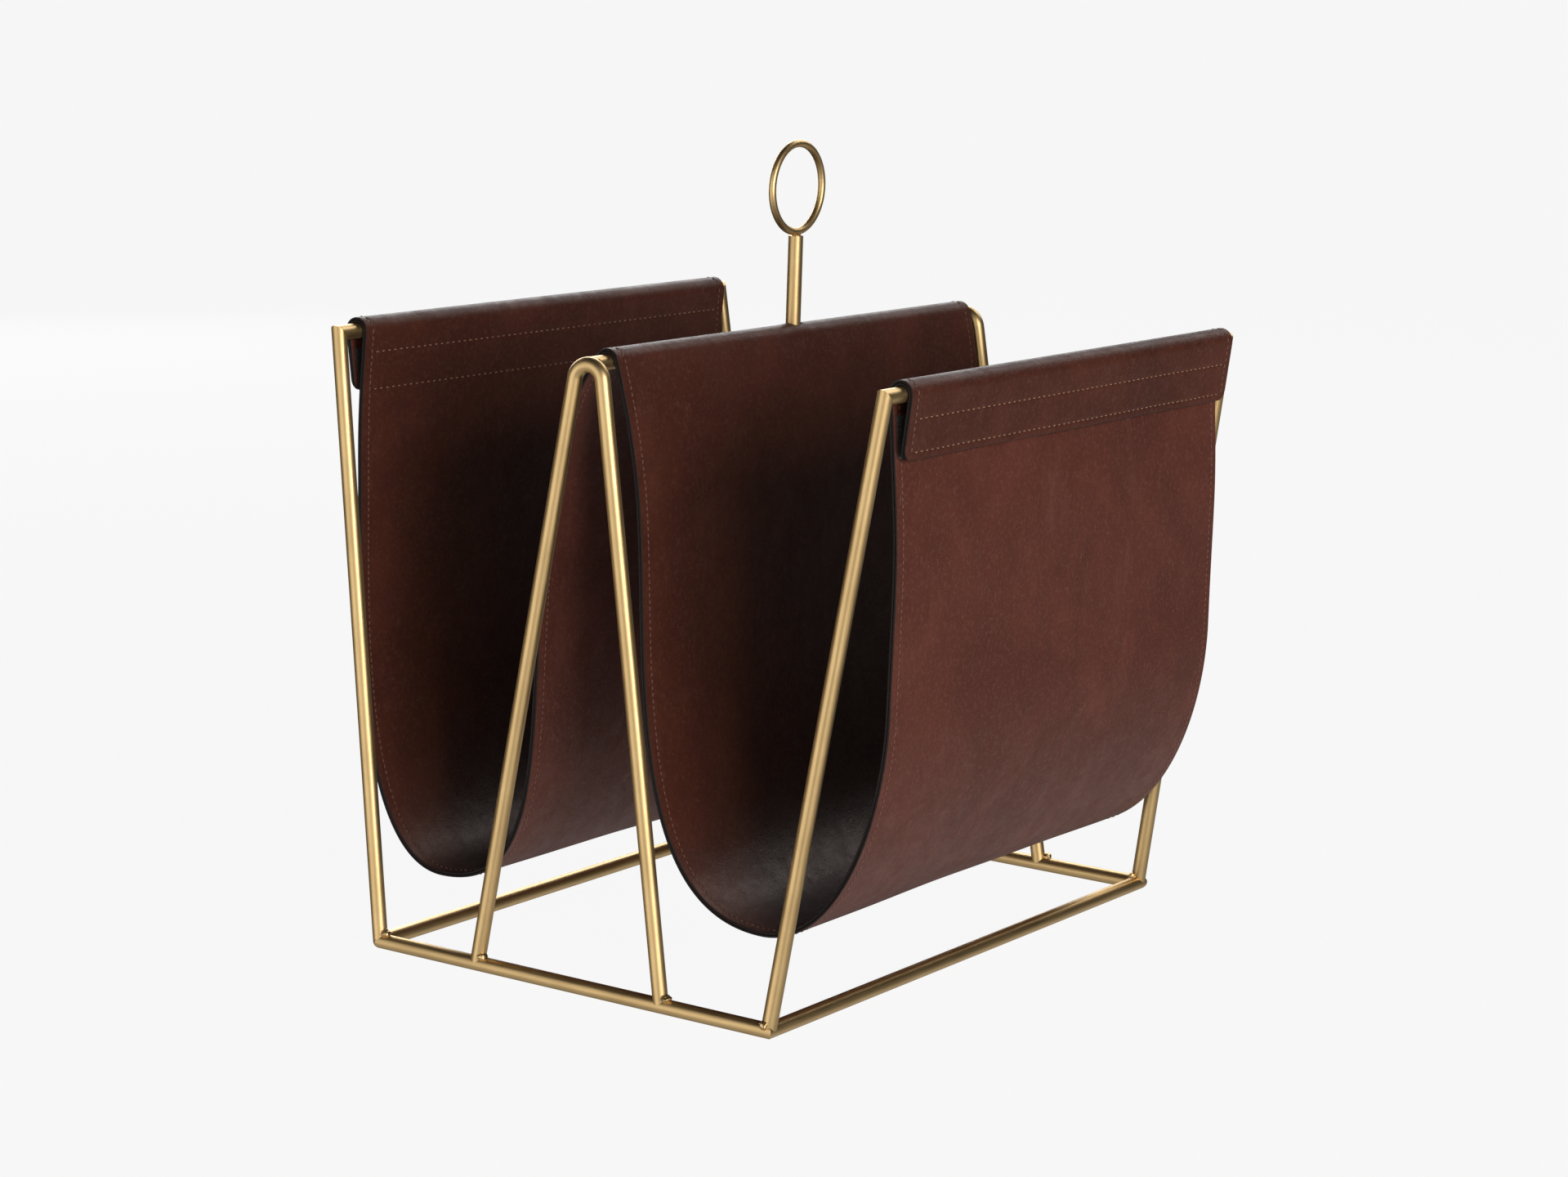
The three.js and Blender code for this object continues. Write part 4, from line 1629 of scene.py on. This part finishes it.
@dataclass
class PileStrip:
    """A nylon strip of hooks or loops, sewn on the under leaf."""

    strip: Strip
    start: float
    end: float
    seed: float
    base: float = 0.4 * MM
    pile: float = 0.5 * MM
    margin: float = 2.6 * MM
    cell: float = 0.95 * MM
    sunk: float = 0.1 * MM
    lump_scale: float = 900.0
    lump_share: tuple[float, float] = (0.45, 0.55)
    fibre: float = 0.11 * MM
    fibre_count: int = 900
    fibre_steps: int = 6
    fibre_sides: int = 3
    fibre_inset: float = 0.8 * MM
    fibre_end: float = 0.3 * MM
    fibre_size: tuple[float, float] = (0.3, 0.6)

    def piece(self, name: str) -> bpy.types.Object:
        """Makes the strip.

        Args:
            name: The piece's name.

        Returns:
            The strip: a woven base with a lumpy pile, and loose fibres that stand out of it.
        """
        front, back = self.strip.front + self.margin, self.strip.back - self.margin
        rows = int((self.end - self.start) / self.cell) + 2
        count = int((back - front) / self.cell) + 2
        stations, columns = np.linspace(self.start, self.end, rows), np.linspace(front, back, count)
        s, y = np.repeat(stations, count), np.tile(columns, rows)
        skin = -(self.strip.glue / 2 + self.strip.leaf)
        scale = self.lump_scale
        lumps = np.array([noise.noise(Vector((a * scale, b * scale, self.seed))) for a, b in zip(s, y)])
        rim = np.minimum(np.minimum(s - self.start, self.end - s), np.minimum(y - front, back - y))
        even, uneven = self.lump_share
        height = self.base + self.pile * (even + uneven * lumps) * np.clip(rim / MM, 0.0, 1.0)
        top = self.strip.surface(s, y, np.full_like(s, skin + self.sunk))
        bottom = self.strip.surface(s, y, skin - height)
        hair_points, hair_faces = self.fibres(front, back, skin, 2 * rows * count)
        points = np.vstack([top, bottom, hair_points])
        return make_piece(name, points, slab_faces(rows, count) + hair_faces, [NYLON], 85.0)

    def fibres(self, front: float, back: float, skin: float, first: int) -> tuple[np.ndarray, list]:
        """Loose loops that stand out of the pile.

        Args:
            front: Front end of the strip.
            back: Back end of the strip.
            skin: Offset of the leather's face.
            first: Number of the first vertex.

        Returns:
            Their points and faces.
        """
        pick = np.random.default_rng(int(self.seed * 10))
        rings, faces = [], []
        steps, sides = self.fibre_steps, self.fibre_sides
        for loop in range(self.fibre_count):
            s0 = pick.uniform(self.start + self.fibre_inset, self.end - self.fibre_inset)
            share = pick.uniform() ** (3 if loop % 2 else 1)
            y0 = front + self.fibre_end + share * (back - front - 2 * self.fibre_end)
            turn, size = pick.uniform(0, 2 * math.pi), pick.uniform(*self.fibre_size) * MM
            base = first + len(rings)
            for k in range(steps):
                angle = math.pi * (0.05 + 0.95 * k / (steps - 1))
                along, up = -math.cos(angle) * size * 0.7, math.sin(angle) * size
                for side in range(sides):
                    spin = 2 * math.pi * side / sides
                    out, rise = self.fibre * math.cos(spin), self.fibre * math.sin(spin)
                    rings.append((s0 + along * math.cos(turn) - out * math.sin(turn),
                                  y0 + along * math.sin(turn) + out * math.cos(turn),
                                  skin - (self.base + self.pile * 0.3 + up + rise)))
            faces += [tuple(base + v for v in quad) for quad in strip_faces(steps, sides, True)]
            faces.append(tuple(base + v for v in range(sides)))
            faces.append(tuple(base + steps * sides - 1 - v for v in range(sides)))
        return self.strip.surface(*np.array(rings).T), faces


@dataclass
class Flap:
    """One end of the strip: it wraps over its side bar and closes on itself."""

    strip: Strip
    side: Side
    split: float
    dip: float = 1.6 * MM
    hook_overlap: float = 1.6 * MM

    @property
    def body(self) -> str:
        """The body that the flap's free part moves with."""
        return f"{self.side.word}_flap"

    def reach(self) -> tuple[float, float]:
        """Where the flap's leather starts and ends along the strip."""
        return (0.0, self.split) if self.side is Side.LEFT else (self.split, self.strip.line.total)

    def bend(self, piece: bpy.types.Object, slot: str, *nodes: str) -> bpy.types.Object:
        """Bakes a piece's placement into its mesh, hides the CAD nodes that it stands for and reports it.

        Args:
            piece: The piece.
            slot: Not used.
            *nodes: The CAD nodes that it stands for.

        Returns:
            The piece.
        """
        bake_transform(piece)
        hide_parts(*nodes)
        return dress(piece)

    def build_leaves(self) -> None:
        """Makes the flap's two leaves, from the pocket's wall over the bar to the flap's edge."""
        start, end = self.reach()
        word = self.side.word
        bar, under = f"top_rod_{word}", f"{word}_flap_under_leaf"
        for leaf, finish, rests in ((Leaf.UNDER, UNDER_SHADE, bar), (Leaf.FACE, FACE_LEATHER_WITH_PAINTED_SHADE, under)):
            piece = self.strip.leaf_piece(f"{word}_flap_{leaf.word}_leaf", leaf, start, end, finish)
            nodes = [f"{word}_{part}_{leaf.word}_leather" for part in ("flap", "wrap")]
            self.bend(piece, f"leather_{leaf.word}", *nodes)

    def build_seams(self) -> None:
        """Makes the flap's rows of stitching and its edge seams."""
        word = self.side.word
        for level in ("upper", "lower"):
            piece = self.strip.row_seam(f"{word}_flap_seam_{level}", self.side, f"flap_{level}", Leaf.FACE)
            settle(piece, self.body, "thread", f"{word}_flap_thread_{level}")
        start, end = self.reach()
        stop = self.strip.rows[self.side]["flap_lower"]
        span = (stop, end) if self.side is Side.LEFT else (start, stop)
        for place in End:
            piece = self.strip.edge_seam(f"{word}_flap_edge_seam_{place.word}", place, *span, 160, Leaf.FACE)
            self.bend(piece, "thread")

    def build_hook_strip(self) -> None:
        """Makes the hook strip on the flap's inside."""
        rows = self.strip.rows[self.side]
        low, high = sorted((rows["flap_upper"], rows["flap_lower"]))
        start, end = low - self.hook_overlap, high + self.hook_overlap
        band = PileStrip(self.strip, start, end, seed=33.0 + self.side.value)
        word = self.side.word
        settle(band.piece(f"{word}_hook_pile"), self.body, "hook_and_loop", f"{word}_hook_strip")

    def build(self) -> None:
        """Makes the whole flap."""
        self.build_leaves()
        self.build_seams()
        self.build_hook_strip()


# ---------------------------------------------------------------- studio


@dataclass(frozen=True)
class Softbox:
    """A square area light aimed at the rack."""

    name: str
    place: Colour
    size: float
    watts: float
    sheen_only: bool = False

    def build(self, target: Vector) -> None:
        """Makes the light.

        Args:
            target: What it is aimed at.
        """
        data = bpy.data.lights.new(self.name, "AREA")
        data.shape = "SQUARE"
        data.size = self.size
        data.energy = self.watts
        light = bpy.data.objects.new(self.name, data)
        light.location = self.place
        light.visible_diffuse = not self.sheen_only
        light.rotation_euler = (target - Vector(self.place)).to_track_quat("-Z", "Y").to_euler()
        bpy.context.scene.collection.objects.link(light)


@dataclass(frozen=True)
class Glow:
    """A soft patch of brightness in the room around the rack."""

    towards: Colour
    narrow: float
    strength: float


@dataclass
class Studio:
    """Camera, floor, lights and the room that the brass reflects."""

    azimuth: float = math.radians(33.96)
    elevation: float = math.radians(10.44)
    roll: float = math.radians(1.82)
    place: Colour = (1.12752, -1.67473, 0.55648)
    lens: float = 86.8
    sensor: float = 36.0
    sight: float = 400.0
    floor_size: float = 120.0
    room: float = 0.006
    backdrop: float = 0.93
    glows: tuple[Glow, ...] = (
        Glow((0.0, 0.0, -1.0), 1.5, 0.31),
        Glow((0.2, 0.75, -0.6), 8.0, 0.42),
        Glow((0.7, -0.1, -0.7), 5.0, 0.5),
        Glow((-0.5, -0.6, -0.6), 5.0, 0.4),
        Glow((0.75, -0.66, 0.0), 16.0, 1.6),
    )
    softboxes: tuple[Softbox, ...] = (
        Softbox("ridge_softbox", (-1.2, 1.8, 1.35), 1.1, 18.5, sheen_only=True),
        Softbox("back_softbox", (0.25, 1.9, 1.75), 1.1, 13.0, sheen_only=True),
        Softbox("key_softbox", (2.5, -0.9, 0.85), 1.4, 49.0),
        Softbox("far_softbox", (-2.3, 1.4, 0.9), 1.4, 24.0),
        Softbox("front_softbox", (-0.7, -3.0, 0.3), 3.4, 46.0, sheen_only=True),
    )

    def build_camera(self) -> None:
        """Makes the camera: a long lens, a little above the rack and to its right, and slightly rolled."""
        data = bpy.data.cameras.new("camera")
        data.lens = self.lens
        data.sensor_width = self.sensor
        data.clip_end = self.sight
        camera = bpy.data.objects.new("camera", data)
        level = math.cos(self.elevation)
        aside, forth = math.sin(self.azimuth), math.cos(self.azimuth)
        back = Vector((aside * level, -forth * level, math.sin(self.elevation)))
        right = Vector((forth, aside, 0.0))
        up = back.cross(right)
        turned_right = right * math.cos(self.roll) + up * math.sin(self.roll)
        turned_up = up * math.cos(self.roll) - right * math.sin(self.roll)
        turn = Matrix((turned_right, turned_up, back)).transposed().to_4x4()
        camera.matrix_world = Matrix.Translation(self.place) @ turn
        bpy.context.scene.collection.objects.link(camera)
        bpy.context.scene.camera = camera

    def build_floor(self) -> None:
        """Makes the floor, which only the camera sees, so that the brass reflects the room."""
        half = self.floor_size / 2
        points = np.array(((-half, -half, 0.0), (half, -half, 0.0), (half, half, 0.0), (-half, half, 0.0)))
        floor = make_piece("floor", points, [(0, 1, 2, 3)], [FloorFinish()])
        floor.visible_glossy = False
        floor.visible_diffuse = False
        floor.visible_shadow = False

    def build_room(self) -> None:
        """Makes the room's brightness: dim, with soft patches that the bars pick up as highlights."""
        world = bpy.data.worlds.new("studio_room")
        bpy.context.scene.world = world
        world.use_nodes = True
        bench = NodeBench(world.node_tree)
        where = bench.add("TexCoord").outputs["Generated"]
        total = None
        for glow in self.glows:
            dot = bench.add("VectorMath", operation="DOT_PRODUCT")
            dot.inputs[1].default_value = Vector(glow.towards).normalized()
            bench.join(where, dot.inputs[0])
            value = bench.maths("MAXIMUM", dot.outputs["Value"], 0.0)
            value = bench.maths("POWER", value, glow.narrow)
            value = bench.maths("MULTIPLY", value, glow.strength)
            total = value if total is None else bench.maths("ADD", total, value)
        total = bench.maths("ADD", total, self.room)
        seen = bench.add("LightPath").outputs["Is Camera Ray"]
        total = bench.maths("MAXIMUM", total, bench.maths("MULTIPLY", seen, self.backdrop))
        background = bench.tree.nodes["Background"]
        bench.join(total, background.inputs["Strength"])
        background.inputs["Color"].default_value = (1.0, 1.0, 1.0, 1.0)

    def build(self) -> None:
        """Makes the whole studio."""
        self.build_camera()
        self.build_floor()
        self.build_room()
        low, high = CAD_BOX
        target = (Vector(low) + Vector(high)) / 2
        for softbox in self.softboxes:
            softbox.build(target)
        bpy.context.scene.view_settings.view_transform = "Standard"


def main() -> None:
    """Builds the studio, the frame, the sling and the flaps."""
    logging.basicConfig(level=logging.INFO, format="%(name)s: %(message)s")
    Studio().build()
    bars = BarFrame()
    bars.build()
    low, high = corners("sling_face_leather")
    side_bar = bars.axis("top_bar_right")
    line = SlingLine(side_x=float(side_bar[0]), bar_height=float(side_bar[2]))
    strip = Strip(line, front=float(low[1]), back=float(high[1]))
    sling = Sling(strip)
    sling.build()
    for side, split in zip(Side, sling.ends()):
        Flap(strip, side, split).build()


if __name__ == "__main__":
    main()
